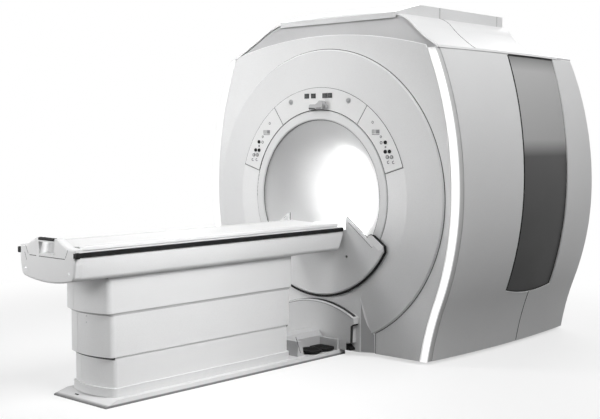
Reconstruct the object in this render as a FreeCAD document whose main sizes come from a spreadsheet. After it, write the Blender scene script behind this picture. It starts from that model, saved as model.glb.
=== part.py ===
import FreeCAD, Part
import math
import os
import re
import Sketcher

# A cylindrical-magnet MRI scanner with its fixed patient table, in millimetres.
# The origin is on the floor, straight below the isocentre. +Y runs along the bore into the
# magnet, +X is to the right seen from the table, and +Z is up. The table lies towards -Y.

SIZES = {
    # bore and magnet
    "iso_height": 1057, "bore_radius": 300, "tube_wall": 5, "tube_half": 500,
    "flare_mouth": 524, "flare_wall": 8, "front_mouth": 925, "rear_mouth": 905,
    "body_coil_outer": 335, "body_coil_half": 300,
    "gradient_inner": 345, "gradient_outer": 440, "gradient_half": 600,
    "vessel_inner": 452, "vessel_outer": 915, "vessel_half": 770,
    "turret_radius": 120, "turret_top": 1995, "turret_at": 150,
    # outline of the gantry, seen from the table
    "front_face": 885, "rear_face": 920, "cover_wall": 10, "seam": 4,
    "mid_height": 1100, "half_mid": 1110, "knee_height": 400, "half_knee": 980,
    "foot_height": 20, "half_foot": 875, "side_top": 2034, "half_top": 915,
    "upper_arc": 2340, "lower_arc": 1950, "foot_arc": 2000,
    "corner_height": 2047, "half_corner": 852, "front_top_arc": 3380,
    "plan_radius": 8000, "belly_at": 100,
    "strip_width": 58, "strip_depth": 50, "side_seam_at": 150,
    # dark inset in each side
    "inset_step": 12, "inset_wall": 6, "inset_front_top": -70, "inset_front_low": -172,
    "inset_rear_top": 592, "inset_rear_low": 464, "inset_sill_front": 425,
    "inset_sill_rear": 409, "inset_front_arc": 11500, "inset_rear_arc": 6850,
    "inset_sill_arc": 1660, "half_sill": 966, "sill_height": 365,
    # roof and service box
    "roof_edge": 2048, "roof_wall": 12, "ridge_half": 460, "ridge_height": 2296,
    "shoulder_half": 690, "shoulder_height": 2195, "shoulder_arc": 400, "eave_arc": 1500,
    "roof_arc": 8450, "roof_front": 868, "rake_front_top": 775, "rake_rear_start": 590,
    "rake_rear_mid": 760, "rake_rear_height": 2110, "rake_rear_low": 2080, "fascia_back": 10,
    "rear_flat": 800, "rear_top": 2044, "hip_in": 500, "hip_in_at": 560, "hip_out": 930,
    "hip_out_at": 240, "hip_floor": 2062, "box_seam_front": 263, "box_seam_rear": 472,
    "box_half": 520, "box_top": 2360, "box_front": 498, "box_rear": 550, "box_wall": 8,
    # round front disc, control panel and rim
    "seam_radius": 1011, "disc_edge": 900, "disc_front": 935, "disc_wall": 11,
    "panel_outer": 748, "rim_outer": 594, "rim_inner": 526, "rim_front": 941,
    "panel_depth": 3, "panel_proud": 3, "centre_sweep": 34.3, "keypad_end": 73,
    "trunk_half": 366, "trunk_base_half": 458, "trunk_top": 405, "trunk_foot": 25,
    # controls
    "key_radius": 12.5, "key_height": 5, "key_well": 3.2, "key_inner": 655, "key_outer": 686,
    "display_low": 1733, "display_high": 1764, "lens_radius": 19, "lens_ring": 704,
    "light_left": 70, "light_right": 80, "light_low": 1655, "light_high": 1690, "light_depth": 26,
    # dock on the front of the gantry
    "gasket_radius": 684, "collar_radius": 674, "gasket_front": 950, "collar_front": 964,
    "collar_bevel": 11,
    "notch_half": 262, "notch_height": 845, "lip_height": 937,
    "apron_front": 990, "apron_half": 355, "apron_low_half": 330, "apron_shoulder": 262,
    "apron_arc": 738, "apron_foot": 38, "apron_wall": 8,
    "bridge_half": 215, "bridge_top": 860, "bridge_wall": 12,
    # table
    "table_foot": 3150, "table_head": 975, "cap_depth": 50, "tub_half": 246,
    "tub_top": 866, "tub_bottom": 705, "tub_floor": 846, "channel_half": 222,
    "bumper_half": 254, "bumper_low": 836, "bumper_high": 862, "tub_wall": 10,
    "cradle_half": 213, "cradle_low": 862, "cradle_high": 891, "cradle_sag_arc": 3000,
    "cradle_foot": 3088, "cradle_head": 985,
    "grip_half": 74, "grip_low": 903, "grip_high": 930, "web_top": 922, "grip_deep": 30,
    # telescopic pedestal
    "shroud_foot": 2886, "shroud_head": 1424, "shroud_half": 196, "shroud_arc": 488,
    "side_inset": 6.5, "foot_inset": 23, "head_inset": 15, "shroud_wall": 3.5,
    "shroud_corner": 32, "shroud_seam": 85, "upper_low": 505, "middle_low": 258,
    "middle_high": 525, "lower_low": 85, "lower_high": 280, "stroke": 250,
    "plinth_low": 35, "plinth_out": 10, "base_half": 240, "base_foot": 2952,
    "base_head": 938, "base_edge": 8, "base_bevel": 90,
    "column_front": 2520, "column_rear": 1820, "column_half": 75, "column_wall": 6,
    "column_top": 440, "ram_half": 66, "ram_low": 345,
    # foot pedals
    "pedal_hinge": 84, "pedal_out": 236, "pedal_low": 45, "pedal_high": 59,
    "pedal_long": 122, "pedal_first": 1206, "pedal_second": 1080, "hinge_pin": 3,
    "spine_half": 76, "spine_top": 146, "spine_foot": 1385,
    # base frame
    "frame_height": 110, "frame_half": 480, "frame_beam": 120, "frame_long": 700,
    "foot_at_x": 620, "foot_at_y": 550, "foot_plate": 20, "anchor_radius": 9,
    "table_anchor_x": 150, "table_anchor_y": 2150, "table_anchor_pitch": 1000,
    "table_anchor_radius": 6.5,
}

doc = FreeCAD.newDocument("mri_scanner")
nodes = {}


# ---------------------------------------------------------------- sheet and sketches

def make_sheet():
    sheet = doc.addObject("Spreadsheet::Sheet", "Sizes")
    for row, (alias, number) in enumerate(SIZES.items(), 1):
        sheet.set(f"A{row}", alias)
        sheet.set(f"B{row}", str(number))
        sheet.setAlias(f"B{row}", alias)
    doc.recompute()
    return sheet


sheet = make_sheet()


def value(text):
    """The number that a formula of the sheet's aliases has now."""
    return float(sheet.evalExpression(str(text)))


def bound(text):
    """The same formula with each alias written as a reference to the sheet."""
    return re.sub(r"[a-z][a-z0-9_]*", lambda word: f"Sizes.{word[0]}" if word[0] in SIZES else word[0],
                  str(text))


def bind(thing, **formulas):
    for name, text in formulas.items():
        thing.setExpression(name.replace("__", "."), bound(text))
    return thing


def new_body(name):
    return doc.addObject("PartDesign::Body", name)


def keep(name, thing):
    """Names an object as one piece of the scanner."""
    thing.Label = name
    nodes[name] = thing
    return thing


def arc_between(start, end, radius, turn):
    """An arc under a half circle from start to end; turn is 1 anticlockwise and -1 clockwise."""
    chord = end - start
    left = FreeCAD.Vector(-chord.y, chord.x, 0) / chord.Length
    reach = math.sqrt(radius ** 2 - (chord.Length / 2) ** 2)
    centre = (start + end) / 2 + left * reach * turn
    middle = centre - left * radius * turn
    return Part.Arc(start, middle, end) if turn > 0 else Part.Arc(end, middle, start)


def dimension(sketch, kind, formula, *where):
    index = sketch.addConstraint(Sketcher.Constraint(kind, *where, value(formula)))
    sketch.setExpression(f"Constraints[{index}]", bound(formula))


def add_outline(sketch, steps):
    """A closed outline. A step is (x, y) for a line to that point or (x, y, radius, turn) for an arc."""
    corners = [FreeCAD.Vector(value(step[0]), value(step[1]), 0) for step in steps]
    edges = []
    for index, step in enumerate(steps):
        start, end = corners[index - 1], corners[index]
        if len(step) == 2:
            edges.append((sketch.addGeometry(Part.LineSegment(start, end), False), 1, 2))
        else:
            arc = sketch.addGeometry(arc_between(start, end, value(step[2]), step[3]), False)
            edges.append((arc, 1, 2) if step[3] > 0 else (arc, 2, 1))
    for index, (edge, _, last) in enumerate(edges):
        following, first, _ = edges[(index + 1) % len(edges)]
        sketch.addConstraint(Sketcher.Constraint("Coincident", edge, last, following, first))
    for (edge, _, last), step in zip(edges, steps):
        dimension(sketch, "DistanceX", step[0], -1, 1, edge, last)
        dimension(sketch, "DistanceY", step[1], -1, 1, edge, last)
        if len(step) == 4:
            dimension(sketch, "Radius", step[2], edge)


def add_circle(sketch, x, y, radius):
    centre = FreeCAD.Vector(value(x), value(y), 0)
    circle = sketch.addGeometry(Part.Circle(centre, FreeCAD.Vector(0, 0, 1), value(radius)), False)
    dimension(sketch, "DistanceX", x, -1, 1, circle, 3)
    dimension(sketch, "DistanceY", y, -1, 1, circle, 3)
    dimension(sketch, "Radius", radius, circle)


def add_sketch(body, plane, outlines=(), circles=(), lift="0", rise="0"):
    """A dimensioned sketch on one of the body's planes: lift moves it along the plane's normal
    (-Y for XZ, +X for YZ, +Z for XY) and rise moves it along its own second axis."""
    sketch = body.newObject("Sketcher::SketchObject", body.Name + "_sketch")
    base = [feature for feature in body.Origin.OriginFeatures if feature.Role == plane + "_Plane"][0]
    sketch.AttachmentSupport = [(base, "")]
    sketch.MapMode = "FlatFace"
    bind(sketch, AttachmentOffset__Base__z=lift, AttachmentOffset__Base__y=rise)
    for steps in outlines:
        add_outline(sketch, steps)
    for circle in circles:
        add_circle(sketch, *circle)
    return sketch


def pad(body, sketch, length, both_ways=False):
    feature = body.newObject("PartDesign::Pad", body.Name + "_pad")
    feature.Profile = sketch
    feature.SideType = "Symmetric" if both_ways else "One side"
    return bind(feature, Length=length)


def pocket(body, sketch, length, both_ways=False, backwards=False):
    """Cuts along the sketch's normal reversed, or along the normal where backwards is set."""
    doc.recompute()
    before = body.Shape.Volume
    feature = body.newObject("PartDesign::Pocket", body.Name + "_pocket")
    feature.Profile = sketch
    feature.SideType = "Symmetric" if both_ways else "One side"
    feature.Reversed = backwards
    bind(feature, Length=length)
    doc.recompute()
    if body.Shape.Volume > before - 1:
        raise ValueError(f"{body.Name}: a pocket cut nothing")
    return feature


def turned(name, outline, kind="Revolution", body=None, sweep=None):
    """Turns an outline of (y, radius) steps about the bore's axis, right round or by sweep about the top."""
    body = body or new_body(name)
    sketch = add_sketch(body, "YZ", [outline], rise="iso_height")
    feature = body.newObject("PartDesign::" + kind, body.Name + "_turned")
    feature.Profile = sketch
    feature.ReferenceAxis = (sketch, ["H_Axis"])
    if sweep:
        feature.Midplane = True
        bind(feature, Angle=sweep)
    return body


def loft(body, sketches, ruled=False):
    feature = body.newObject("PartDesign::AdditiveLoft", body.Name + "_loft")
    feature.Profile = sketches[0]
    feature.Sections = [(sketch, [""]) for sketch in sketches[1:]]
    feature.Ruled = ruled
    return feature


def round_edges(body, test, radius, kind="Fillet"):
    """Rounds, or bevels, the edges of the body's shape whose middle point passes the test."""
    doc.recompute()
    picked = []
    for number, edge in enumerate(body.Shape.Edges, 1):
        middle = edge.valueAt((edge.FirstParameter + edge.LastParameter) / 2)
        if test(middle, edge):
            picked.append(f"Edge{number}")
    solid = body.Tip
    feature = body.newObject("PartDesign::" + kind, body.Name + "_edge")
    feature.Base = (solid, picked)
    return bind(feature, Radius=radius) if kind == "Fillet" else bind(feature, Size=radius)


def mirrored(name, source):
    """The same piece on the other side of the scanner."""
    feature = doc.addObject("Part::Mirroring", name)
    feature.Source = source
    feature.Normal = FreeCAD.Vector(1, 0, 0)
    return keep(name, feature)


def boolean(kind, name, first, second):
    feature = doc.addObject("Part::" + kind, name)
    feature.Base = first
    feature.Tool = second
    return feature


def cylinder(name, radius, height, x, y, z, axis=(0, 0, 1)):
    """A plain cylinder that stands on the point given and points along the axis."""
    feature = doc.addObject("Part::Cylinder", name)
    feature.Placement.Rotation = FreeCAD.Rotation(FreeCAD.Vector(0, 0, 1), FreeCAD.Vector(*axis))
    return bind(feature, Radius=radius, Height=height, Placement__Base__x=x, Placement__Base__y=y,
                Placement__Base__z=z)


def box(name, x_low, x_high, y_low, y_high, z_low, z_high):
    feature = doc.addObject("Part::Box", name)
    bind(feature, Length=f"({x_high}) - ({x_low})", Width=f"({y_high}) - ({y_low})",
         Height=f"({z_high}) - ({z_low})")
    return bind(feature, Placement__Base__x=x_low, Placement__Base__y=y_low, Placement__Base__z=z_low)


def group(name, parts):
    feature = doc.addObject("Part::Compound", name)
    feature.Links = parts
    return keep(name, feature)


def fused(name, parts):
    feature = doc.addObject("Part::MultiFuse", name)
    feature.Shapes = parts
    return keep(name, feature)


def rectangle(x_low, x_high, y_low, y_high):
    return [(x_low, y_low), (x_high, y_low), (x_high, y_high), (x_low, y_high)]


def symmetric(right_half):
    """An outline from its right half, given from the bottom up as steps; arcs keep their turn."""
    left_half = []
    for index in range(len(right_half) - 1, -1, -1):
        arc = right_half[index + 1][2:] if index + 1 < len(right_half) else ()
        left_half.append((f"-({right_half[index][0]})", right_half[index][1], *arc))
    return right_half + left_half


# ---------------------------------------------------------------- outline of the gantry

def bulge(y):
    """How much wider the gantry is at a place along the bore than at its front face."""
    return f"((front_face - belly_at)^2 - ({y} + belly_at)^2) / (2 * plan_radius)"


def side_steps(shift, top="side_top", half_top="half_top"):
    """The right side of the gantry from its top to its foot, as arcs that meet smoothly."""
    return [
        (f"{half_top} + {shift}", top),
        (f"half_mid + {shift}", "mid_height", "upper_arc", -1),
        (f"half_knee + {shift}", "knee_height", "lower_arc", -1),
        (f"half_foot + {shift}", "foot_height", "foot_arc", 1),
    ]


def side_band(outer, inner):
    """A closed band between two side lines, the outer one down and the inner one back up."""
    down = side_steps(outer)
    up = [
        (f"half_foot + {inner}", "foot_height"),
        (f"half_knee + {inner}", "knee_height", "foot_arc", -1),
        (f"half_mid + {inner}", "mid_height", "lower_arc", 1),
        (f"half_top + {inner}", "side_top", "upper_arc", 1),
    ]
    return down + up


def face_outline(shift):
    """The whole front or rear face: both sides, a straight foot and an arched top."""
    right = [
        (f"half_corner + {shift}", "corner_height", "front_top_arc", -1),
        (f"half_mid - strip_width + {shift}", "mid_height", "upper_arc", -1),
        (f"half_knee - strip_width + {shift}", "knee_height", "lower_arc", -1),
        (f"half_foot - strip_width + {shift}", "foot_height", "foot_arc", 1),
    ]
    left = [
        (f"-(half_foot - strip_width + {shift})", "foot_height"),
        (f"-(half_knee - strip_width + {shift})", "knee_height", "foot_arc", 1),
        (f"-(half_mid - strip_width + {shift})", "mid_height", "lower_arc", -1),
        (f"-(half_corner + {shift})", "corner_height", "upper_arc", -1),
    ]
    return right + left


def side_shell(body, places, outer, inner):
    """A bulging side skin, lofted through bands at several places along the bore."""
    sketches = []
    for place in places:
        band = side_band(f"{bulge(place)} - {outer}", f"{bulge(place)} - {inner}")
        sketches.append(add_sketch(body, "XZ", [band], lift=f"-({place})"))
    return loft(body, sketches)


def inset_window():
    """The opening in the side for the dark inset, as (y, z) steps. It is open at the top edge."""
    above = "side_top + 40"
    return [
        ("inset_rear_top", above, "inset_rear_arc", -1),
        ("inset_front_top", above),
        ("inset_front_low", "inset_sill_front", "inset_front_arc", 1),
        ("inset_rear_low", "inset_sill_rear", "inset_sill_arc", 1),
    ]


def cut_window(body):
    sketch = add_sketch(body, "YZ", [inset_window()], lift="half_mid + 100")
    pocket(body, sketch, "400")


# ---------------------------------------------------------------- gantry covers

def make_front_cover():
    body = new_body("front_cover")
    plate = add_sketch(body, "XZ", [face_outline("0")], lift="front_face - cover_wall")
    pad(body, plate, "cover_wall")
    hole = add_sketch(body, "XZ", circles=[("0", "iso_height", "seam_radius")], lift="front_face + 1")
    pocket(body, hole, "cover_wall + 2")
    slot = rectangle("-(trunk_base_half + seam)", "trunk_base_half + seam", "0", "220")
    pocket(body, add_sketch(body, "XZ", [slot], lift="front_face + 1"), "cover_wall + 2")
    keep("front_cover", body)


def make_disc_cover():
    """The round front moulding: a flat ring, a cone out to the seam, and the trunk down to the floor."""
    edge = "seam_radius - seam"
    body = turned("disc_cover", [
        ("-disc_front", "rim_outer + 2"),
        ("-disc_front", "panel_outer + 2"),
        ("-disc_edge", f"{edge} - 8"),
        ("-(disc_edge - 8)", edge, "9", 1),
        ("-(front_face - cover_wall)", edge),
        ("-(front_face - cover_wall)", f"{edge} - 12"),
        ("-(disc_edge - disc_wall)", f"{edge} - 12"),
        ("-(disc_front - disc_wall)", "panel_outer + 2"),
        ("-(disc_front - disc_wall)", "rim_outer + 2"),
    ])
    trunk = [
        ("-trunk_base_half", "-(front_face + 2)"), ("-trunk_half", "-disc_front"),
        ("trunk_half", "-disc_front"), ("trunk_base_half", "-(front_face + 2)"),
        ("trunk_base_half - 8", "-(front_face - 8)"), ("trunk_half - 3", "-(disc_front - disc_wall)"),
        ("-(trunk_half - 3)", "-(disc_front - disc_wall)"), ("-(trunk_base_half - 8)", "-(front_face - 8)"),
    ]
    pad(body, add_sketch(body, "XY", [trunk], lift="trunk_foot"), "trunk_top - trunk_foot")
    recess = [
        ("-(disc_front + 5)", "rim_outer + 4"), ("-(disc_front + 5)", "panel_outer"),
        ("-(disc_front - panel_depth)", "panel_outer"), ("-(disc_front - panel_depth)", "rim_outer + 4"),
    ]
    turned("disc_cover", recess, kind="Groove", body=body, sweep="2 * keypad_end + 1")
    keep("disc_cover", body)


def make_rim_and_bore():
    keep("bore_rim", turned("bore_rim", [
        ("-(rim_front - 15)", "rim_inner"), ("-rim_front", "rim_inner + 12", "15", -1),
        ("-rim_front", "rim_outer - 8"), ("-(rim_front - 8)", "rim_outer", "8", -1),
        ("-(rim_front - 24)", "rim_outer"), ("-(rim_front - 24)", "flare_mouth + flare_wall"),
        ("-(rim_front - 15)", "flare_mouth + flare_wall"),
    ]))
    for name, side, mouth in (("bore_flare_front", "-", "front_mouth"),
                              ("bore_flare_rear", "", "rear_mouth")):
        drop = "(flare_mouth - bore_radius)"
        sweep_radius = f"((({mouth} - tube_half)^2 + {drop}^2) / (2 * {drop}))"
        share = f"(1 - flare_wall / {sweep_radius})"
        outer_y = f"tube_half + ({mouth} - tube_half) * {share}"
        outer_radius = f"bore_radius + {sweep_radius} - ({sweep_radius} - {drop}) * {share}"
        turn = 1 if side == "-" else -1
        keep(name, turned(name, [
            (f"{side}({mouth})", "flare_mouth"),
            (f"{side}tube_half", "bore_radius", sweep_radius, turn),
            (f"{side}tube_half", "bore_radius + flare_wall"),
            (f"{side}({outer_y})", outer_radius, f"{sweep_radius} - flare_wall", -turn),
        ]))
    keep("bore_tube", turned("bore_tube", rectangle(
        "-(tube_half - 1)", "tube_half - 1", "bore_radius", "bore_radius + tube_wall")))


def make_magnet():
    keep("body_coil", turned("body_coil", rectangle(
        "-body_coil_half", "body_coil_half", "bore_radius + tube_wall + 2", "body_coil_outer")))
    keep("gradient_coil", turned("gradient_coil", rectangle(
        "-gradient_half", "gradient_half", "gradient_inner", "gradient_outer")))
    vessel = turned("magnet_vessel", [
        ("-vessel_half", "vessel_inner"), ("vessel_half", "vessel_inner"),
        ("vessel_half", "vessel_outer - 40"), ("vessel_half - 40", "vessel_outer", "40", 1),
        ("-(vessel_half - 40)", "vessel_outer"), ("-vessel_half", "vessel_outer - 40", "40", 1),
    ])
    low = "iso_height + vessel_outer - 60"
    turret = add_sketch(vessel, "XY", circles=[("0", "turret_at", "turret_radius")], lift=low)
    pad(vessel, turret, f"turret_top - ({low})")
    keep("magnet_vessel", vessel)
    fused("cold_head", [
        cylinder("cold_head_flange", "turret_radius - 20", "18", "0", "turret_at", "turret_top"),
        cylinder("cold_head_neck", "52", "150", "0", "turret_at", "turret_top + 10"),
        cylinder("cold_head_motor", "70", "160", "0", "turret_at", "turret_top + 150"),
    ])


def make_base_frame():
    """Two beams under the magnet with a cross beam, four saddles and four anchored feet."""
    body = new_body("base_frame")
    half = "(frame_beam / 2)"
    tie = rectangle("-(frame_half + 10)", "frame_half + 10", f"-{half}", half)
    pad(body, add_sketch(body, "XY", [tie]), "frame_height")
    for side in ("-", ""):
        middle = f"{side}frame_half"
        beam = rectangle(f"{middle} - {half}", f"{middle} + {half}", "-frame_long", "frame_long")
        pad(body, add_sketch(body, "XY", [beam]), "frame_height")
        for end in ("-", ""):
            centre = f"{end}foot_at_y"
            saddle = rectangle(f"{middle} - {half}", f"{middle} + {half}", f"{centre} - 70", f"{centre} + 70")
            pad(body, add_sketch(body, "XY", [saddle]), "frame_height + 260")
            foot_x = f"{side}foot_at_x"
            plate = rectangle(f"{side}(foot_at_x - 90)", f"{side}(foot_at_x + 60)", f"{centre} - 70",
                              f"{centre} + 70")
            pad(body, add_sketch(body, "XY", [plate]), "foot_plate")
            hole = add_sketch(body, "XY", circles=[(foot_x, centre, "anchor_radius")], lift="foot_plate + 1")
            pocket(body, hole, "foot_plate + 2")
    gap = "vessel_outer + 0.3"
    turned("base_frame", rectangle("-frame_long - 50", "frame_long + 50", "0", gap), kind="Groove", body=body)
    keep("base_frame", body)


def make_sides():
    front_start = "-(front_face - strip_depth - 6)"
    side = new_body("side_cover_right")
    side_shell(side, [front_start, "-480", "-belly_at", "side_seam_at - seam / 2"], "0", "cover_wall")
    cut_window(side)
    keep("side_cover_right", side)
    mirrored("side_cover_left", side)
    inset = new_body("side_inset_right")
    places = ["inset_front_low - 25", "150", "350", "inset_rear_top + 25"]
    side_shell(inset, places, "inset_step", "(inset_step + inset_wall)")
    below = rectangle("-900", "900", "-100", "sill_height")
    pocket(inset, add_sketch(inset, "YZ", [below], lift="half_mid + 100"), "600")
    keep("side_inset_right", inset)
    mirrored("side_inset_left", inset)
    strip = new_body("light_strip_right")
    band = side_band("0", "-strip_width + 1")
    pad(strip, add_sketch(strip, "XZ", [band], lift="front_face - strip_depth"), "strip_depth")
    front = -value("front_face")
    corner = lambda at, edge: at.y < front + 1 and at.x > outer_side(at.z) - 3 and edge.Length > 150
    round_edges(strip, corner, "14")
    keep("light_strip_right", strip)
    mirrored("light_strip_left", strip)


def outer_side(height):
    """The half width of the gantry's front face at a height, from its arcs."""
    mid, knee = value("mid_height"), value("knee_height")
    half, upper, lower, foot = value("half_mid"), value("upper_arc"), value("lower_arc"), value("foot_arc")
    if height >= mid:
        return half - upper + math.sqrt(upper ** 2 - (height - mid) ** 2)
    if height >= knee:
        return half - lower + math.sqrt(lower ** 2 - (height - mid) ** 2)
    lean = (mid - knee) / lower
    centre_x = value("half_knee") + foot * math.sqrt(1 - lean ** 2)
    centre_z = knee - foot * lean
    return centre_x - math.sqrt(foot ** 2 - (height - centre_z) ** 2)


def make_rear_cover():
    """The rear face with its round opening and the rear half of both sides, one moulding."""
    body = new_body("rear_cover")
    widen = f"{bulge('rear_face')} + strip_width - 1"
    outline = face_outline(widen)
    shoulder = [(f"-({outline[0][0]})", "side_top"), ("-rear_flat", "rear_top"), ("rear_flat", "rear_top"),
                (outline[0][0], "side_top")]
    outline = shoulder[1:] + outline[1:-1] + [(*shoulder[0], "upper_arc", -1)]
    plate = add_sketch(body, "XZ", [outline], lift="-rear_face")
    pad(body, plate, "cover_wall")
    hole = add_sketch(body, "XZ", circles=[("0", "iso_height", "flare_mouth + 1")],
                      lift="-(rear_face - cover_wall - 1)")
    pocket(body, hole, "cover_wall + 2")
    side_shell(body, ["side_seam_at + seam / 2", "400", "650", "rear_face - 1"], "0", "cover_wall")
    cut_window(body)
    mirror_cut = doc.addObject("Part::Mirroring", "rear_cover_other_side")
    mirror_cut.Source = body
    mirror_cut.Normal = FreeCAD.Vector(1, 0, 0)
    fused("rear_cover", [body, mirror_cut])


# ---------------------------------------------------------------- roof and service box

def roof_section(place, drop, floor):
    """The roof in front view at a place along the bore, lowered by drop, down to a flat floor."""
    edge = f"half_top + {bulge(place)}"
    right = [
        (edge, floor),
        (edge, f"roof_edge - {drop}"),
        ("shoulder_half", f"shoulder_height - {drop}", "eave_arc", -1),
        ("ridge_half", f"ridge_height - {drop}", "shoulder_arc", 1),
    ]
    left = [
        ("-ridge_half", f"ridge_height - {drop}", "roof_arc", 1),
        ("-shoulder_half", f"shoulder_height - {drop}", "shoulder_arc", 1),
        (f"-({edge})", f"roof_edge - {drop}", "eave_arc", -1),
        (f"-({edge})", floor),
    ]
    return right + left


RAKE = "((roof_front - rake_front_top) / (ridge_height - roof_edge))"


def roof_solid(name, drop, floor, front, rear, rake_in):
    """The space under the roof, with its raked front end and the slope at its rear."""
    body = new_body(name)
    places = [front, "-300", "300", rear]
    sections = [add_sketch(body, "XZ", [roof_section(place, drop, floor)], lift=f"-({place})")
                for place in places]
    loft(body, sections)
    high = "ridge_height + 200"
    front_cut = [
        (f"-(roof_front - {rake_in})", "roof_edge - 60"),
        (f"-(roof_front - {rake_in}) + {RAKE} * ({high} - roof_edge + 60)", high),
        ("-(roof_front + 400)", high), ("-(roof_front + 400)", "roof_edge - 60"),
    ]
    rear_cut = [
        (f"rake_rear_start - {drop}", high), (f"rake_rear_start - {drop}", "ridge_height + 16"),
        ("rake_rear_mid", f"rake_rear_height - {drop}"), ("rear_face + 60", f"rake_rear_low - {drop}"),
        ("rear_face + 60", high),
    ]
    for cut in (front_cut, rear_cut):
        pocket(body, add_sketch(body, "YZ", [cut]), "3000", both_ways=True)
    for side in ("", "-"):
        hip = [(f"{side}(hip_in - {drop})", f"hip_in_at - {drop}"),
               (f"{side}(hip_out - {drop})", f"hip_out_at - {drop}"),
               (f"{side}1300", f"hip_out_at - 275 - {drop}"), (f"{side}1300", "1100"),
               (f"{side}(hip_in - {drop})", "1100")]
        pocket(body, add_sketch(body, "XY", [hip], lift=high), f"{high} - hip_floor + {drop}")
    return body


def make_roof():
    outer = roof_solid("roof_outer", "0", "roof_edge - roof_wall", "-(roof_front + 5)", "rear_face", "0")
    inner = roof_solid("roof_inner", "roof_wall", "roof_edge - 60", "-(roof_front + 5)", "rear_face + 20",
                       "-60")
    shell = boolean("Cut", "roof_shell", outer, inner)
    hatch = box("roof_hatch", "-300", "300", "turret_at - 250", "turret_at + 250", "2200", "2400")
    keep("roof_cover", boolean("Cut", "roof_cover", shell, hatch))
    space = roof_solid("fascia_space", "(roof_wall + 0.5)", "side_top + 1", "-(roof_front + 5)", "rear_face",
                       "-60")
    slab = new_body("fascia_slab")
    top = "ridge_height + 60"
    start = "-(roof_front - fascia_back)"
    steps = [(start, "roof_edge - 60"), (f"{start} + {RAKE} * ({top} - roof_edge + 60)", top),
             (f"{start} + 7 + {RAKE} * ({top} - roof_edge + 60)", top), (f"{start} + 7", "roof_edge - 60")]
    pad(slab, add_sketch(slab, "YZ", [steps]), "3000", both_ways=True)
    keep("roof_fascia", boolean("Common", "roof_fascia", space, slab))
    profile = [
        ("-(rake_front_top - 7)", "ridge_height - 60"), ("box_rear + 6", "ridge_height - 60"),
        ("box_rear", "box_top"), ("-box_front", "box_top"), ("-(rake_front_top - 7)", "ridge_height - 4"),
    ]
    cover = new_body("service_box_block")
    pad(cover, add_sketch(cover, "YZ", [profile]), "2 * box_half", both_ways=True)
    for place in ("-box_seam_front", "box_seam_rear"):
        ring = [rectangle("-(box_half + 5)", "box_half + 5", "ridge_height - 90", "box_top + 5"),
                rectangle("-(box_half - 4)", "box_half - 4", "ridge_height - 80", "box_top - 4")]
        pocket(cover, add_sketch(cover, "XZ", ring, lift=f"-({place})"), "6")
    hollow = rectangle("-box_front", "box_rear - box_wall", "ridge_height - 80", "box_top - box_wall")
    pocket(cover, add_sketch(cover, "YZ", [hollow]), "2 * (box_half - box_wall)", both_ways=True)
    keep("service_box", boolean("Cut", "service_box", cover, outer))


# ---------------------------------------------------------------- controls on the front

def sector_panel(name, sweep, turn_angle, wells=()):
    """One inlaid piece of the ring above the bore, turned about the bore's axis to its place,
    with a round well for each push key."""
    body = turned(name, rectangle("-(disc_front + panel_proud)", "-(disc_front - panel_depth)",
                                  "rim_outer + 5", "panel_outer - 1"), sweep=sweep)
    if wells:
        circles = [(f"({ring}) * sin({angle} - ({turn_angle}))",
                    f"iso_height + ({ring}) * cos({angle} - ({turn_angle}))",
                    "key_radius + 0.5") for angle, ring in wells]
        pocket(body, add_sketch(body, "XZ", circles=circles, lift="disc_front + panel_proud + 1"),
               "1 + key_well")
    angle = value(turn_angle)
    iso = FreeCAD.Vector(0, 0, value("iso_height"))
    turn = FreeCAD.Rotation(FreeCAD.Vector(0, 1, 0), angle)
    body.Placement = FreeCAD.Placement(iso - turn.multVec(iso), turn)
    return keep(name, body)


def on_panel(name, angle, ring, radius, low, high):
    """A round button or lens that stands on the panel, at an angle from the top of the ring."""
    x = f"({ring}) * sin({angle})"
    z = f"iso_height + ({ring}) * cos({angle})"
    return cylinder(name, radius, f"({high}) - ({low})", x, f"-(disc_front + panel_proud + ({low}))", z,
                    axis=(0, -1, 0))


KEYS = [("key_stop", "56.8", "key_outer"), ("key_in", "62.5", "key_outer"), ("key_out", "61.2", "key_inner"),
        ("key_up", "65.8", "key_outer"), ("key_down", "64.6", "key_inner")]
MARKS = [("42.7", "690", "9"), ("47.0", "656", "8"), ("47.0", "680", "8"), ("49.0", "656", "8"),
         ("49.0", "680", "8"), ("52.5", "677", "8"), ("55.3", "656", "10"), ("59.0", "671", "7"),
         ("68.7", "key_outer", "10"), ("67.8", "648", "10")]


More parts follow.
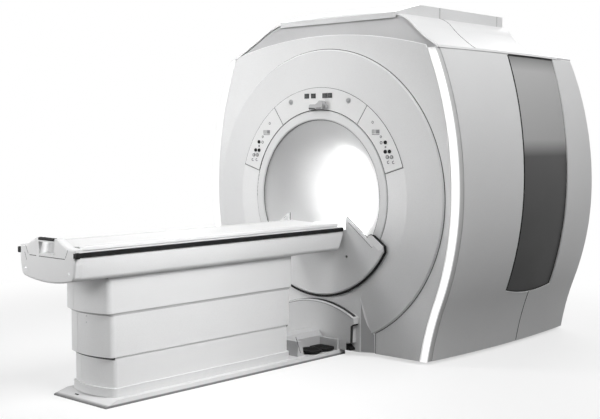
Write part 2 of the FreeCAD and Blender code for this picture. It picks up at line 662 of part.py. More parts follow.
def make_controls():
    half = "((keypad_end - centre_sweep) / 2)"
    sector_panel("control_panel", "2 * centre_sweep - 0.6", "0")
    for side, sign in (("right", ""), ("left", "-")):
        wells = [(f"{sign}{angle}", ring) for _, angle, ring in KEYS]
        sector_panel(f"keypad_panel_{side}", f"2 * {half} - 0.2", f"{sign}(centre_sweep + {half})", wells)
    lamps = []
    for side, sign in (("left", "-"), ("right", "")):
        for name, angle, ring in KEYS:
            full = f"{name}_{side}"
            keep(full, on_panel(full, f"{sign}{angle}", ring, "key_radius", "-0.6", "key_height"))
        for number, (angle, ring, radius) in enumerate(MARKS):
            lamps.append(on_panel(f"lamp_{side}_{number}", f"{sign}{angle}", ring, radius, "0", "1.5"))
    group("keypad_lamps", lamps)
    front = "-(disc_front + panel_proud + 2)"
    rear = "-(disc_front + panel_proud)"
    group("display_windows", [
        box(f"display_{number}", low, high, front, rear, "display_low", "display_high")
        for number, (low, high) in enumerate((("-131", "-92"), ("-70", "-31"), ("33", "117")))])
    group("indicator_lenses", [on_panel(f"lens_{number}", angle, "lens_ring", "lens_radius", "0", "4")
                               for number, angle in enumerate(("-21.8", "21.8"))])
    body = new_body("alignment_light")
    bar = [("light_right - 14", "light_low"), ("light_right", "light_low + 14", "14", 1),
           ("light_right", "light_high - 14"), ("light_right - 14", "light_high", "14", 1),
           ("-(light_left - 14)", "light_high"), ("-light_left", "light_high - 14", "14", 1),
           ("-light_left", "light_low + 14"), ("-(light_left - 14)", "light_low", "14", 1)]
    pad(body, add_sketch(body, "XZ", [bar], lift="disc_front + panel_proud"), "light_depth")
    fin = [("2", "light_low + 3"), ("62", "light_low + 3"), ("66", "light_high"),
           ("54", "light_high + 20", "40", 1),
           ("42", "light_high + 24", "14", 1), ("30", "light_high + 18", "14", 1), ("2", "light_high", "60",
                                                                                    -1)]
    pad(body, add_sketch(body, "XZ", [fin], lift="disc_front + panel_proud"), "light_depth + 18")
    keep("alignment_light", body)


# ---------------------------------------------------------------- dock

def collar_outline(radius, out):
    """The dock's bib: an arc about the isocentre, with an ear at each end and a notch for the table."""
    ear_z = f"iso_height - sqrt(({radius})^2 - (592 + {out})^2)"
    right = [
        (f"592 + {out}", ear_z, radius, 1),
        (f"588 + {out}", f"758 + {out}"), (f"490 + {out} / 2", f"826 + {out}"),
        ("456", f"822 + {out}"), ("440", "800"),
        ("notch_half", "lip_height"), ("notch_half", "notch_height"),
    ]
    left = [(f"-({x})", z) for x, z in [step[:2] for step in right[::-1]]]
    return right + left


def make_dock():
    gasket = new_body("dock_gasket")
    steps = collar_outline("gasket_radius", "0")
    pad(gasket, add_sketch(gasket, "XZ", [steps], lift="rim_front + 1"), "gasket_front - rim_front - 1")
    keep("dock_gasket", gasket)
    collar = new_body("dock_collar")
    steps = collar_outline("collar_radius", "-6")
    pad(collar, add_sketch(collar, "XZ", [steps], lift="gasket_front"), "collar_front - gasket_front")
    front, notch = -value("collar_front"), value("notch_half")
    round_edges(collar, lambda at, edge: at.y < front + 0.1 and abs(at.x) > notch + 1 or
                at.y < front + 0.1 and at.z < 600, "collar_bevel", kind="Chamfer")
    holes = add_sketch(collar, "XZ", circles=[("269", "666", "10"), ("-269", "666", "10")],
                       lift="collar_front + 1")
    pocket(collar, holes, "20")
    keep("dock_collar", collar)
    apron = new_body("dock_apron")
    steps = [
        ("apron_half", "apron_shoulder - 42"), ("apron_half", "apron_shoulder"),
        ("-apron_half", "apron_shoulder", "apron_arc", 1), ("-apron_half", "apron_shoulder - 42"),
        ("-apron_low_half", "apron_shoulder - 56"), ("-apron_low_half", "apron_foot + 52"),
        ("-(apron_low_half - 42)", "apron_foot + 52"), ("-(apron_low_half - 42)", "apron_foot"),
        ("apron_low_half - 42", "apron_foot"), ("apron_low_half - 42", "apron_foot + 52"),
        ("apron_low_half", "apron_foot + 52"), ("apron_low_half", "apron_shoulder - 56"),
    ]
    pad(apron, add_sketch(apron, "XZ", [steps], lift="disc_front + 0.5"), "apron_front - disc_front - 0.5")
    steps = [
        ("apron_low_half - 42 - apron_wall", "apron_foot - 10"),
        ("apron_low_half - 42 - apron_wall", "apron_foot + 52 + apron_wall"),
        ("apron_low_half - apron_wall", "apron_foot + 52 + apron_wall"),
        ("apron_low_half - apron_wall", "apron_shoulder - 14"),
        ("-(apron_low_half - apron_wall)", "apron_shoulder - 14", "apron_arc", 1),
        ("-(apron_low_half - apron_wall)", "apron_foot + 52 + apron_wall"),
        ("-(apron_low_half - 42 - apron_wall)", "apron_foot + 52 + apron_wall"),
        ("-(apron_low_half - 42 - apron_wall)", "apron_foot - 10"),
    ]
    inside = add_sketch(apron, "XZ", [steps], lift="disc_front - 1")
    pocket(apron, inside, "apron_front - disc_front - apron_wall + 1", backwards=True)
    front = -value("apron_front")
    round_edges(apron, lambda at, edge: at.y < front + 0.1 and at.z > 200 and edge.Length > 400, "7")
    keep("dock_apron", apron)
    bridge = new_body("bore_bridge")
    deck = rectangle("-bridge_half", "bridge_half", "bridge_top - bridge_wall", "bridge_top")
    pad(bridge, add_sketch(bridge, "XZ", [deck], lift="-(rear_face - 30)"), "rear_face - 30 + table_head - 7")
    ribs = [rectangle(low, high, "bridge_top - 56", "bridge_top - bridge_wall + 1")
            for low, high in (("-160", "-150"), ("150", "160"))]
    pad(bridge, add_sketch(bridge, "XZ", ribs, lift="-(rear_face - 30)"), "rear_face - 30 + rim_front - 1")
    keep("bore_bridge", bridge)


def make_pedals():
    """Two foot pedals in the bay of a low housing between the table's base and the gantry."""
    mount = new_body("pedal_housing")
    spine = symmetric([("spine_half", "plinth_low"), ("spine_half", "spine_top - 30"),
                       ("spine_half - 24", "spine_top")])
    pad(mount, add_sketch(mount, "XZ", [spine], lift="apron_front + 1"), "spine_foot - apron_front - 1")
    cheek = [("-(apron_front + 1)", "plinth_low"), ("-(apron_front + 1)", "105"),
             ("-(apron_front + 20)", "105"), ("-(apron_front + 26)", "plinth_low")]
    pad(mount, add_sketch(mount, "YZ", [cheek], lift="spine_half - 1"), "base_half - 8 - spine_half")
    cheek = [("-(spine_foot - 24)", "plinth_low"), ("-(spine_foot - 30)", "132"),
             ("-(spine_foot - 62)", "132"), ("-(spine_foot - 84)", "plinth_low")]
    pad(mount, add_sketch(mount, "YZ", [cheek], lift="spine_half - 1"), "base_half - 50 - spine_half")
    pin = add_sketch(mount, "XZ", circles=[("pedal_hinge", "(pedal_low + pedal_high) / 2", "hinge_pin")],
                     lift="apron_front + 20")
    pad(mount, pin, "spine_foot - apron_front - 90")
    keep("pedal_housing", mount)
    for name, place in (("pedal_foot_end", "pedal_first"), ("pedal_bore_end", "pedal_second")):
        body = new_body(name)
        low, high = f"-({place} + pedal_long / 2)", f"-({place} - pedal_long / 2)"
        sole = [("pedal_out - 46", low), ("pedal_out", f"{low} + 46", "46", 1), ("pedal_out", f"{high} - 46"),
                ("pedal_out - 46", high, "46", 1), ("pedal_hinge + 22", high), ("pedal_hinge",
                                                                                f"{high} - 22", "22", 1),
                ("pedal_hinge", f"{low} + 22"), ("pedal_hinge + 22", low, "22", 1)]
        pad(body, add_sketch(body, "XY", [sole], lift="pedal_low"), "pedal_high - pedal_low")
        top, barrel = value("pedal_high"), value("pedal_hinge + 8")
        round_edges(body, lambda at, edge: at.z > top - 0.1 and at.x > barrel, "4")
        axis = ("pedal_hinge", "(pedal_low + pedal_high) / 2")
        knuckle = add_sketch(body, "XZ", circles=[(*axis, "(pedal_high - pedal_low) / 2")],
                             lift=f"{place} - pedal_long / 2 + 24")
        pad(body, knuckle, "pedal_long - 48")
        hole = add_sketch(body, "XZ", circles=[(*axis, "hinge_pin + 0.35")],
                          lift=f"{place} + pedal_long / 2 + 5")
        pocket(body, hole, "pedal_long + 10")
        keep(name, body)


# ---------------------------------------------------------------- table

def make_pedestal():
    base = new_body("table_base")
    edge = rectangle("-base_half", "base_half", "-base_foot", "-base_head")
    pad(base, add_sketch(base, "XY", [edge]), "base_edge")
    low = rectangle("-base_half", "base_half", "-base_foot", "-base_head")
    high = rectangle("-(base_half - 6)", "base_half - 6", "-(base_foot - base_bevel)", "-base_head")
    loft(base, [add_sketch(base, "XY", [low], lift="base_edge"),
                add_sketch(base, "XY", [high], lift="plinth_low")], ruled=True)
    plinth = shroud_outline("2", "-plinth_out")
    pad(base, add_sketch(base, "XY", [plinth], lift="plinth_low"), "lower_low - plinth_low")
    anchors = [(f"{x}table_anchor_x", f"-(table_anchor_y {y} table_anchor_pitch / 2)", "table_anchor_radius")
               for x in ("-", "") for y in ("-", "+")]
    pocket(base, add_sketch(base, "XY", circles=anchors, lift="lower_low + 1"), "lower_low + 2")
    keep("table_base", base)
    for name, tier, low, high in (("upper_shroud", "0", "upper_low", "tub_bottom"),
                                  ("middle_shroud", "1", "middle_low", "middle_high"),
                                  ("lower_shroud", "2", "lower_low", "lower_high")):
        body = new_body(name)
        rings = [shroud_outline(tier, "0"), shroud_outline(tier, "shroud_wall")]
        pad(body, add_sketch(body, "XY", rings, lift=low), f"{high} - {low}")
        corner_x, corner_y = shroud_outline(tier, "0")[0][:2]
        face = f"({corner_y}) - sqrt(shroud_arc^2 - shroud_seam^2) + sqrt(shroud_arc^2 - ({corner_x})^2)"
        seam = rectangle("-(shroud_seam + 1.5)", "-(shroud_seam - 1.5)", f"{face} - 9", f"{face} + 1.8")
        pocket(body, add_sketch(body, "XY", [seam], lift=f"{high} + 1"), f"{high} - {low} + 2")
        keep(name, body)
    outer, inner = [], []
    for number, place in enumerate(("column_front", "column_rear")):
        sleeve = boolean("Cut", f"column_sleeve_{number}",
                         post(f"column_block_{number}", place, "column_half", "lower_low", "column_top"),
                         post(f"column_space_{number}", place, "column_half - column_wall", "lower_low - 5",
                              "column_top + 5"))
        outer.append(sleeve)
        inner.append(post(f"ram_{number}", place, "ram_half", "ram_low", "tub_bottom"))
    group("lift_columns", outer)
    group("lift_rams", inner)


def post(name, place, half, low, high):
    return box(name, f"-({half})", half, f"-({place} + {half})", f"-({place} - ({half}))", low, high)


def shroud_outline(tier, wall):
    """The pedestal in plan: straight sides and bowed ends, drawn in for each tier and by a wall."""
    half = f"shroud_half - {tier} * side_inset - ({wall})"
    foot = f"-(shroud_foot - {tier} * foot_inset - ({wall}))"
    head = f"-(shroud_head + {tier} * head_inset + ({wall}))"
    round_in = f"shroud_corner - ({tier} * side_inset + ({wall})) / 2"
    start, end = f"{half} - 0.86 * ({round_in})", f"0.36 * ({round_in})"
    along = f"0.72 * ({round_in})"
    return [
        (start, f"{foot} - {end}", "shroud_arc", 1), (half, f"{foot} + {along}", round_in, 1),
        (half, f"{head} - {along}"), (start, f"{head} + {end}", round_in, 1),
        (f"-({start})", f"{head} + {end}", "shroud_arc", 1), (f"-({half})", f"{head} - {along}", round_in, 1),
        (f"-({half})", f"{foot} + {along}"), (f"-({start})", f"{foot} - {end}", round_in, 1),
    ]


def make_tub():
    body = new_body("table_tub")
    skin = symmetric([("tub_half - 41", "tub_bottom"), ("tub_half - 11", "tub_bottom + 24", "34", 1),
                      ("tub_half", "tub_bottom + 128", "500", 1), ("tub_half", "tub_top"),
                      ("channel_half", "tub_top"), ("channel_half", "tub_floor")])
    long = "table_foot - cap_depth - table_head"
    pad(body, add_sketch(body, "XZ", [skin], lift="table_head"), long)
    inside = symmetric([("tub_half - 50", "tub_bottom + tub_wall"), ("tub_half - 22", "tub_bottom + 36"),
                        ("channel_half", "tub_floor - 8")])
    cut = add_sketch(body, "XZ", [inside], lift="table_foot - cap_depth + 1")
    pocket(body, cut, f"{long} - tub_wall + 1")
    chin = [("-(table_head + 52)", "tub_bottom - 5"), ("-(table_head + 52)", "tub_bottom"),
            ("-(table_head + 26)", "tub_bottom + 18", "28", 1), ("-table_head", "tub_bottom + 112"),
            ("-(table_head - 5)", "tub_bottom + 112"), ("-(table_head - 5)", "tub_bottom - 5")]
    pocket(body, add_sketch(body, "YZ", [chin]), "4 * tub_half", both_ways=True)
    keep("table_tub", body)
    bumper = new_body("bumper_right")
    rail = [("tub_half", "bumper_low"), ("bumper_half - 3", "bumper_low"),
            ("bumper_half", "bumper_low + 4", "5", 1),
            ("bumper_half", "bumper_high - 4"), ("bumper_half - 3", "bumper_high", "5", 1), ("tub_half",
                                                                                             "bumper_high")]
    pad(bumper, add_sketch(bumper, "XZ", [rail], lift="table_head + 2"),
        "table_foot - cap_depth - table_head - 4")
    corner = new_body("corner_bumper")
    pad(corner, add_sketch(corner, "XZ", [rectangle("bumper_half - 8", "bumper_half + 5", "bumper_low",
                                                    "bumper_high")],
                           lift="table_foot - cap_depth + 2.5"), "cap_depth + 1.5")
    front, outer = -value("table_foot"), value("bumper_half")
    round_edges(corner, lambda at, edge: at.x > outer + 1 or at.y < front and at.x > outer, "4")
    mirrored("bumper_left", group("bumper_right", [bumper, corner]))
    group("cradle_rollers", [
        cylinder(f"roller_{number}_{side}", "7.8", "30", f"{sign}180 - 15",
                 f"-(table_head + {60 + 400 * number})",
                 "tub_floor + 8", axis=(1, 0, 0))
        for number in range(6) for side, sign in (("left", "-"), ("right", ""))])


def make_end_cap():
    body = new_body("end_cap")
    face = symmetric([
        ("207", "706", "1060", 1), ("243", "736", "42", 1), ("bumper_half", "800", "600", 1),
        ("bumper_half", "880"), ("185", "886"), ("112", "920"), ("grip_half + 2", "web_top + 6"),
        ("grip_half + 2", "web_top")])
    pad(body, add_sketch(body, "XZ", [face], lift="table_foot - cap_depth"), "cap_depth")
    front = -value("table_foot")
    round_edges(body, lambda at, edge: at.y < front + 1 and at.z < 905 and edge.Length > 20, "12")
    hand = rectangle("-(grip_half - 2)", "grip_half - 2", "840", "grip_low + 3")
    pocket(body, add_sketch(body, "XZ", [hand], lift="table_foot + 10"), "cap_depth + 20")
    behind = rectangle("-(grip_half - 2)", "grip_half - 2", "grip_low", "web_top + 20")
    pocket(body, add_sketch(body, "XZ", [behind], lift="table_foot - grip_deep + 4"),
           "cap_depth - grip_deep + 6")
    slots = [[("-208", "840"), ("-191", "797"), ("-188", "798"), ("-205", "841")],
             [("-198", "876"), ("-174", "832"), ("-171", "833"), ("-195", "877")],
             [("168", "833"), ("171", "832"), ("195", "876"), ("192", "877")],
             rectangle("-72", "166", "824", "828"), rectangle("-162", "-97", "825", "829")]
    pocket(body, add_sketch(body, "XZ", slots, lift="table_foot + 5"), "8")
    ends = [rectangle(f"{sign}bumper_half - 8", f"{sign}bumper_half + 8", "bumper_low - 1", "bumper_high + 1")
            for sign in ("-", "")]
    pocket(body, add_sketch(body, "XZ", ends, lift="table_foot + 5"), "cap_depth + 10")
    wells = [(x, "750", "8.3") for x in ("-200", "200")]
    pocket(body, add_sketch(body, "XZ", circles=wells, lift="table_foot + 5"), "9.5")
    keep("end_cap", body)
    grip = new_body("handle_grip")
    outside = [("-(table_foot + 4)", "grip_low + 8"), ("-(table_foot - 4)", "grip_low", "9", 1),
               ("-(table_foot - grip_deep + 8)", "grip_low"), ("-(table_foot - grip_deep)", "grip_low + 8",
                                                               "9", 1),
               ("-(table_foot - grip_deep)", "grip_high - 10"),
               ("-(table_foot - grip_deep + 10)", "grip_high", "12", 1),
               ("-(table_foot - 6)", "grip_high"), ("-(table_foot + 4)", "grip_high - 10", "12", 1)]
    web = rectangle("-(table_foot + 0.2)", "-(table_foot - grip_deep + 3.8)", "grip_low + 2.8",
                    "web_top + 0.2")
    pad(grip, add_sketch(grip, "YZ", [outside, web]), "2 * (grip_half - 2.2)", both_ways=True)
    keep("handle_grip", grip)
    group("table_screws", [
        cylinder(f"cap_screw_{number}", "8", "6", x, "-(table_foot - 4)", "750", axis=(0, -1, 0))
        for number, x in enumerate(("-200", "200"))])


def make_cradle():
    body = new_body("cradle")
    section = symmetric([("cradle_half - 10", "cradle_low"), ("cradle_half", "cradle_low + 10", "12", 1),
                         ("cradle_half", "cradle_high - 5"), ("cradle_half - 5", "cradle_high", "5", 1)])
    section = section[:4] + [(*section[4][:2], "cradle_sag_arc", -1)] + section[5:]
    pad(body, add_sketch(body, "XZ", [section], lift="cradle_head"), "cradle_foot - cradle_head")
    keep("cradle", body)


def make_cover_screws():
    rear = "rear_face"
    spots = [("-700", "1750"), ("700", "1750"), ("-860", "1057"), ("860", "1057"), ("-760", "350"),
             ("760", "350")]
    group("cover_screws", [cylinder(f"cover_screw_{number}", "9", "3", x, rear, z, axis=(0, 1, 0))
                           for number, (x, z) in enumerate(spots)])


def check_and_write():
    doc.recompute()
    for thing in doc.Objects:
        if {"Invalid", "Error"} & set(thing.State):
            raise ValueError(f"{thing.Name}: {thing.State}")
    os.makedirs("parts", exist_ok=True)
    for name, thing in nodes.items():
        shape = thing.Shape
        if shape.isNull() or not shape.isValid():
            raise ValueError(f"{name}: its shape is not valid")
    for name, thing in nodes.items():
        thing.Shape.exportStep(f"parts/{name}.step")
        print(f"{name}: {len(thing.Shape.Solids)} solid(s), {thing.Shape.Volume / 1e6:.3f} litres")
    print(f"{len(nodes)} nodes")


make_front_cover()
make_disc_cover()
make_rim_and_bore()
make_magnet()
make_base_frame()
make_sides()
make_rear_cover()
make_roof()
make_controls()
make_dock()
make_pedals()
make_pedestal()
make_tub()
make_end_cap()
make_cradle()
make_cover_screws()
check_and_write()
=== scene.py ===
from math import asin, atan2, cos, degrees, hypot, pi, radians, sin, sqrt

import bmesh
import bpy
from mathutils import Matrix, Vector
from mathutils.bvhtree import BVHTree


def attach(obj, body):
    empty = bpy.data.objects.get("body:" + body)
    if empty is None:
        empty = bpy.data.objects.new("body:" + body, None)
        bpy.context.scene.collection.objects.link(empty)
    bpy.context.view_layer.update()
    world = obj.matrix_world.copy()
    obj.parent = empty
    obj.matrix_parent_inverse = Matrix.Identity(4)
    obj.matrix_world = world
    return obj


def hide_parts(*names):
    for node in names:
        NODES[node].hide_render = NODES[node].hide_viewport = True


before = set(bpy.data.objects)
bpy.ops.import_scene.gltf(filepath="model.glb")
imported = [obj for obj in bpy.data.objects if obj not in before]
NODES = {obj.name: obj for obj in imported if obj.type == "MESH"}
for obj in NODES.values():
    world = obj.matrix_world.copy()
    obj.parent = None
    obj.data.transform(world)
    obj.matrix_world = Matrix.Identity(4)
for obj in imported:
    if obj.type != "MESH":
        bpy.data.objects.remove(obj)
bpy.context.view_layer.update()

# The dressed scanner. Metres; +X right and +Y into the bore, both seen from the table; +Z up.
ISO_HEIGHT = 1.057       # the bore's axis
PANEL_FACE = -0.938      # the face of the control panels
DOCK_FACE = -0.9535      # the rim of the docking collar
APRON_FACE = -0.9903     # the face of the apron below it
REAR_FACE = 0.9198       # just inside the rear cover's face
WIDEST = 1.14829         # the belly of the side covers
GRILLE_WIDE, GRILLE_HIGH = 0.19, 0.17
PAD_LONG = 0.092         # the ribbed part of a pedal
SIDES = (("right", 1), ("left", -1))


# ---- materials

def plug(tree, socket, given):
    """Fills one input from another node or with a constant."""
    if isinstance(given, bpy.types.NodeSocket):
        tree.links.new(given, socket)
    else:
        socket.default_value = given


def give(tree, taker, **inputs):
    """Fills a node's inputs by name (underscores for spaces)."""
    for key, given in inputs.items():
        name = key.replace("_", " ")
        plug(tree, next(each for each in taker.inputs if each.name == name and each.enabled), given)


def node(tree, kind, settings=None, family="ShaderNode", **inputs):
    """A new node with its settings and its inputs by name."""
    made = tree.nodes.new(family + kind)
    for key, setting in (settings or {}).items():
        setattr(made, key, setting)
    give(tree, made, **inputs)
    return made


def add(tree, kind, settings=None, family="ShaderNode", take=None, **inputs):
    """The output of a new node: the one to take, or else its first."""
    outputs = node(tree, kind, settings, family, **inputs).outputs
    return next(each for each in outputs if each.enabled and take in (None, each.name))


def start_material(name):
    material = bpy.data.materials.new(name)
    material.use_nodes = True
    return material, material.node_tree, material.node_tree.nodes["Principled BSDF"]


def on_object(tree, stretch=(1, 1, 1)):
    where = add(tree, "TexCoord", take="Object")
    return add(tree, "Mapping", Vector=where, Scale=stretch)


def noise(tree, where, scale, detail=2, **more):
    return add(tree, "TexNoise", Vector=where, Scale=scale, Detail=detail, **more)


def along(tree, axis, low, high, places="Object"):
    """Nought to one between two places along an axis."""
    place = add(tree, "SeparateXYZ", Vector=add(tree, "TexCoord", take=places), take=axis)
    return add(tree, "MapRange", Value=place, From_Min=low, From_Max=high)


def grey(level):
    return (level, level, level, 1)


def cool(level):
    return (level, level + 0.002, level + 0.005, 1)


def bluish(level):
    return (level, level, level + 0.005, 1)


def ramp(tree, factor, stops):
    """Colours, or levels of grey, along a factor."""
    made = node(tree, "ValToRGB", Fac=factor)
    band = made.color_ramp
    while len(band.elements) < len(stops):
        band.elements.new(0.5)
    for element, (place, colour) in zip(band.elements, stops):
        element.position = place
        element.color = colour if isinstance(colour, tuple) else grey(colour)
    return made.outputs["Color"]


def times(tree, first, second):
    """One colour multiplied by another."""
    mix = {"data_type": "RGBA", "blend_type": "MULTIPLY"}
    return add(tree, "Mix", mix, Factor=1, A=first, B=second)


def sums(tree, operation, first, second=0.0):
    made = node(tree, "Math", {"operation": operation})
    plug(tree, made.inputs[0], first)
    plug(tree, made.inputs[1], second)
    return made.outputs["Value"]


def spread(tree, factor, low, high):
    return add(tree, "MapRange", Value=factor, To_Min=low, To_Max=high)


def grain_bump(tree, height, strength, depth):
    return add(tree, "Bump", Height=height, Strength=strength, Distance=depth)


def moulded(name, dark, light, rough=0.36, grain=520, relief=0.12, coat=0.05):
    """Painted or moulded plastic: a faint cloudiness, orange peel and uneven gloss."""
    material, tree, shader = start_material(name)
    where = on_object(tree)
    broad = ramp(tree, noise(tree, where, 1.7, 3, Roughness=0.55), [(0.3, dark), (0.7, light)])
    fine = ramp(tree, noise(tree, where, 240, 1), [(0.35, 0.965), (0.6, 1)])
    wipe = noise(tree, on_object(tree, (9, 9, 3)), 1, 4)
    give(tree, shader, Base_Color=times(tree, broad, fine), Roughness=spread(tree, wipe, rough - 0.06, rough + 0.07),
         Normal=grain_bump(tree, noise(tree, where, grain), relief, 0.0004), Specular_IOR_Level=0.32,
         Coat_Weight=coat, Coat_Roughness=0.18)
    return material


def inlay_with_painted_reflection(name):
    """The inlay in each side: satin, pale above a soft step at shoulder height and dark below it; the pale part is a
    painted reflection, and its top edge is darkened by painted shade.
    """
    material, tree, shader = start_material(name)
    where = on_object(tree)
    # Painted reflection above the step, and painted shade in the last stop at the top edge.
    tone = ramp(tree, along(tree, "Z", 0.4, 2.04),
                [(0.0, 0.035), (0.3, 0.055), (0.57, 0.09), (0.64, 0.45), (0.93, 0.49), (1.0, 0.19)])
    give(tree, shader, Base_Color=tone, Normal=grain_bump(tree, noise(tree, where, 900), 0.2, 0.0004),
         Roughness=spread(tree, noise(tree, where, 3, 3), 0.42, 0.55), Specular_IOR_Level=0.22)
    return material


def rubber(name, dark=0.006, light=0.014, rough=0.55, pebble=700, relief=0.25):
    """Black or grey moulded rubber with a pebbled skin and a little bloom."""
    material, tree, shader = start_material(name)
    where = on_object(tree)
    bloom = noise(tree, where, 14, 4)
    cells = add(tree, "TexVoronoi", Vector=where, Scale=pebble)
    give(tree, shader, Base_Color=ramp(tree, bloom, [(0.35, dark), (0.75, light)]), Specular_IOR_Level=0.15,
         Normal=grain_bump(tree, cells, relief, 0.0005), Roughness=spread(tree, bloom, rough - 0.05, rough + 0.12))
    return material


def metal(name, colour, rough, brushing):
    """Metal with brush lines drawn out along one axis."""
    material, tree, shader = start_material(name)
    lines = noise(tree, on_object(tree, brushing), 1, 4)
    darker = tuple(0.78 * part for part in colour) + (1,)
    give(tree, shader, Base_Color=ramp(tree, lines, [(0.3, darker), (0.7, (*colour, 1))]), Metallic=1,
         Roughness=spread(tree, lines, rough - 0.06, rough + 0.1), Normal=grain_bump(tree, lines, 0.1, 0.0003))
    return material


def lamp_white(name, strength):
    """Opal plastic lit from behind, a touch uneven along its length."""
    material, tree, shader = start_material(name)
    where = on_object(tree)
    tone = ramp(tree, noise(tree, where, 2.5), [(0.3, 0.9), (0.6, 0.98)])
    peel = noise(tree, where, 600)
    give(tree, shader, Base_Color=tone, Emission_Color=tone, Emission_Strength=strength,
         Normal=grain_bump(tree, peel, 0.08, 0.0003), Roughness=spread(tree, peel, 0.22, 0.32))
    return material


def bore_painted_glow(name):
    """The tube's lining, glowing white as painted light over its front half and fading as painted shade towards the
    rear opening.
    """
    material = lamp_white(name, 0.85)
    tree = material.node_tree
    fade = ramp(tree, along(tree, "Y", 0.05, 0.75), [(0.0, 0.98), (0.5, 0.42), (1.0, 0.05)])
    give(tree, tree.nodes["Principled BSDF"], Emission_Color=fade)
    return material


def dark_glass(name):
    """A black display window with faint unlit segments behind it."""
    material, tree, shader = start_material(name)
    where = on_object(tree)
    cells = add(tree, "TexBrick", Vector=where, Scale=55, Mortar_Size=0.03, Color1=grey(0.012), Color2=grey(0.017),
                Mortar=grey(0.006))
    give(tree, shader, Base_Color=cells, Specular_IOR_Level=0.3,
         Roughness=spread(tree, noise(tree, where, 60, 3), 0.3, 0.42))
    return material


def wound_resin(name):
    """Amber resin over copper turns that run round the bore."""
    material, tree, shader = start_material(name)
    turns = add(tree, "TexWave", {"bands_direction": "Y"}, take="Fac", Vector=on_object(tree), Scale=16, Distortion=0.4)
    tone = ramp(tree, turns, [(0.25, (0.26, 0.15, 0.06, 1)), (0.6, (0.52, 0.36, 0.17, 1))])
    give(tree, shader, Base_Color=tone, Normal=grain_bump(tree, turns, 0.5, 0.002),
         Roughness=spread(tree, turns, 0.3, 0.5))
    return material


def edge_light(name):
    """The lit strip: soft grey along its inner edge, a white core, and a plain grey flank."""
    material, tree, shader = start_material(name)
    across = add(tree, "Attribute", {"attribute_name": "across"}, take="Fac")
    tone = ramp(tree, across, [(0.0, 0.8), (0.24, 0.93), (0.8, 0.93), (0.88, 0.6), (1.0, 0.56)])
    glow = ramp(tree, across, [(0.0, 0.22), (0.1, 0.4), (0.24, 0.95), (0.8, 0.95), (0.87, 0.1), (0.92, 0.0)])
    peel = noise(tree, on_object(tree), 600)
    give(tree, shader, Base_Color=tone, Emission_Color=times(tree, glow, along(tree, "Z", 2.034, 1.985)),
         Emission_Strength=0.75, Normal=grain_bump(tree, peel, 0.08, 0.0003),
         Roughness=spread(tree, peel, 0.25, 0.35))
    return material


def paint_with_floor_shade(name, dark, light):
    """The base's paint, with a darker band of painted shade where its skirt meets the floor."""
    material = moulded(name, dark, light, rough=0.42)
    tree = material.node_tree
    shader = tree.nodes["Principled BSDF"]
    paint = shader.inputs["Base Color"].links[0].from_socket
    # Painted shade along the foot of the skirt.
    painted_floor_shade = ramp(tree, along(tree, "Z", 0.01, 0.016), [(0.0, 0.3), (1.0, 1)])
    give(tree, shader, Base_Color=times(tree, paint, painted_floor_shade))
    return material


def ringed_key(name):
    """A pale key with a darker ring moulded round it, read from the distance to its centre."""
    material, tree, shader = start_material(name)
    ring = add(tree, "Attribute", {"attribute_name": "ring"}, take="Fac")
    tone = ramp(tree, ring, [(0.0, 0.62), (0.48, 0.58), (0.6, 0.2), (0.9, 0.2), (1.0, 0.34)])
    peel = noise(tree, on_object(tree), 1200)
    give(tree, shader, Base_Color=tone, Normal=grain_bump(tree, peel, 0.2, 0.0002),
         Roughness=spread(tree, peel, 0.4, 0.55))
    return material


COVER = moulded("cover_shell", cool(0.745), cool(0.775))
FRONT = moulded("front_shell", cool(0.775), cool(0.805), 0.34)
PANEL = moulded("control_skin", grey(0.79), grey(0.81), 0.42, 900, 0.08)
TABLE = moulded("table_shell", cool(0.77), cool(0.8))
CRADLE = moulded("cradle_top", grey(0.74), grey(0.77), 0.45, 350, 0.1)
SHROUD = moulded("shroud_shell", cool(0.72), cool(0.75), 0.4)
MID_GREY = moulded("grey_trim", bluish(0.36), bluish(0.42), 0.5, 700, 0.25)
# The roof fascia's mid grey is painted shade.
FASCIA_SHADE_GREY = moulded("fascia_painted_shade", bluish(0.46), bluish(0.5), 0.5, 700, 0.2)
KEY_GREY = moulded("grey_key", (0.42, 0.42, 0.43, 1), grey(0.5), 0.45, 1200)
FLARE = moulded("bore_lining", cool(0.68), cool(0.72), 0.3, coat=0.25)
RIM = moulded("rim_shell", cool(0.67), cool(0.7), 0.34)
HOUSING = moulded("housing_shell", bluish(0.47), bluish(0.51), 0.42)
LENS = moulded("lens_plastic", (0.4, 0.4, 0.41, 1), (0.48, 0.48, 0.49, 1), 0.15, 1500, coat=0.7)
FRAME_PAINT = moulded("frame_paint", (0.1, 0.105, 0.115, 1), (0.14, 0.145, 0.155, 1), 0.5, 260, 0.3)
PRINT_GREY = moulded("printed_grey", bluish(0.2), bluish(0.25), 0.55, 1500, coat=0.0)
# Paler than the covers: painted highlight on the eave and front arch trims, the sill lips and the collar ribs, painted
# light in the hand pocket, and the pale caps of the ears.
PALE_TRIM_HIGHLIGHT = moulded("pale_trim_and_painted_highlight", cool(0.86), cool(0.89), 0.3)
APRON = moulded("apron_shell", cool(0.6), cool(0.64), 0.42)
LINE_GREY = moulded("line_grey", bluish(0.5), bluish(0.56), 0.5, coat=0.0)
BASE = paint_with_floor_shade("base_shell", cool(0.66), cool(0.69))
INLAY_REFLECTION = inlay_with_painted_reflection("inlay_painted_reflection")
BLACK = rubber("black_rubber")
KEY_BLACK = rubber("black_key", 0.006, 0.014, 0.4, 1600, 0.12)
GAP = rubber("gap_shadow", 0.004, 0.008, 0.8, 300, 0.1)
SEAM_GREY = rubber("joint_grey", 0.035, 0.055, 0.7, 400, 0.15)
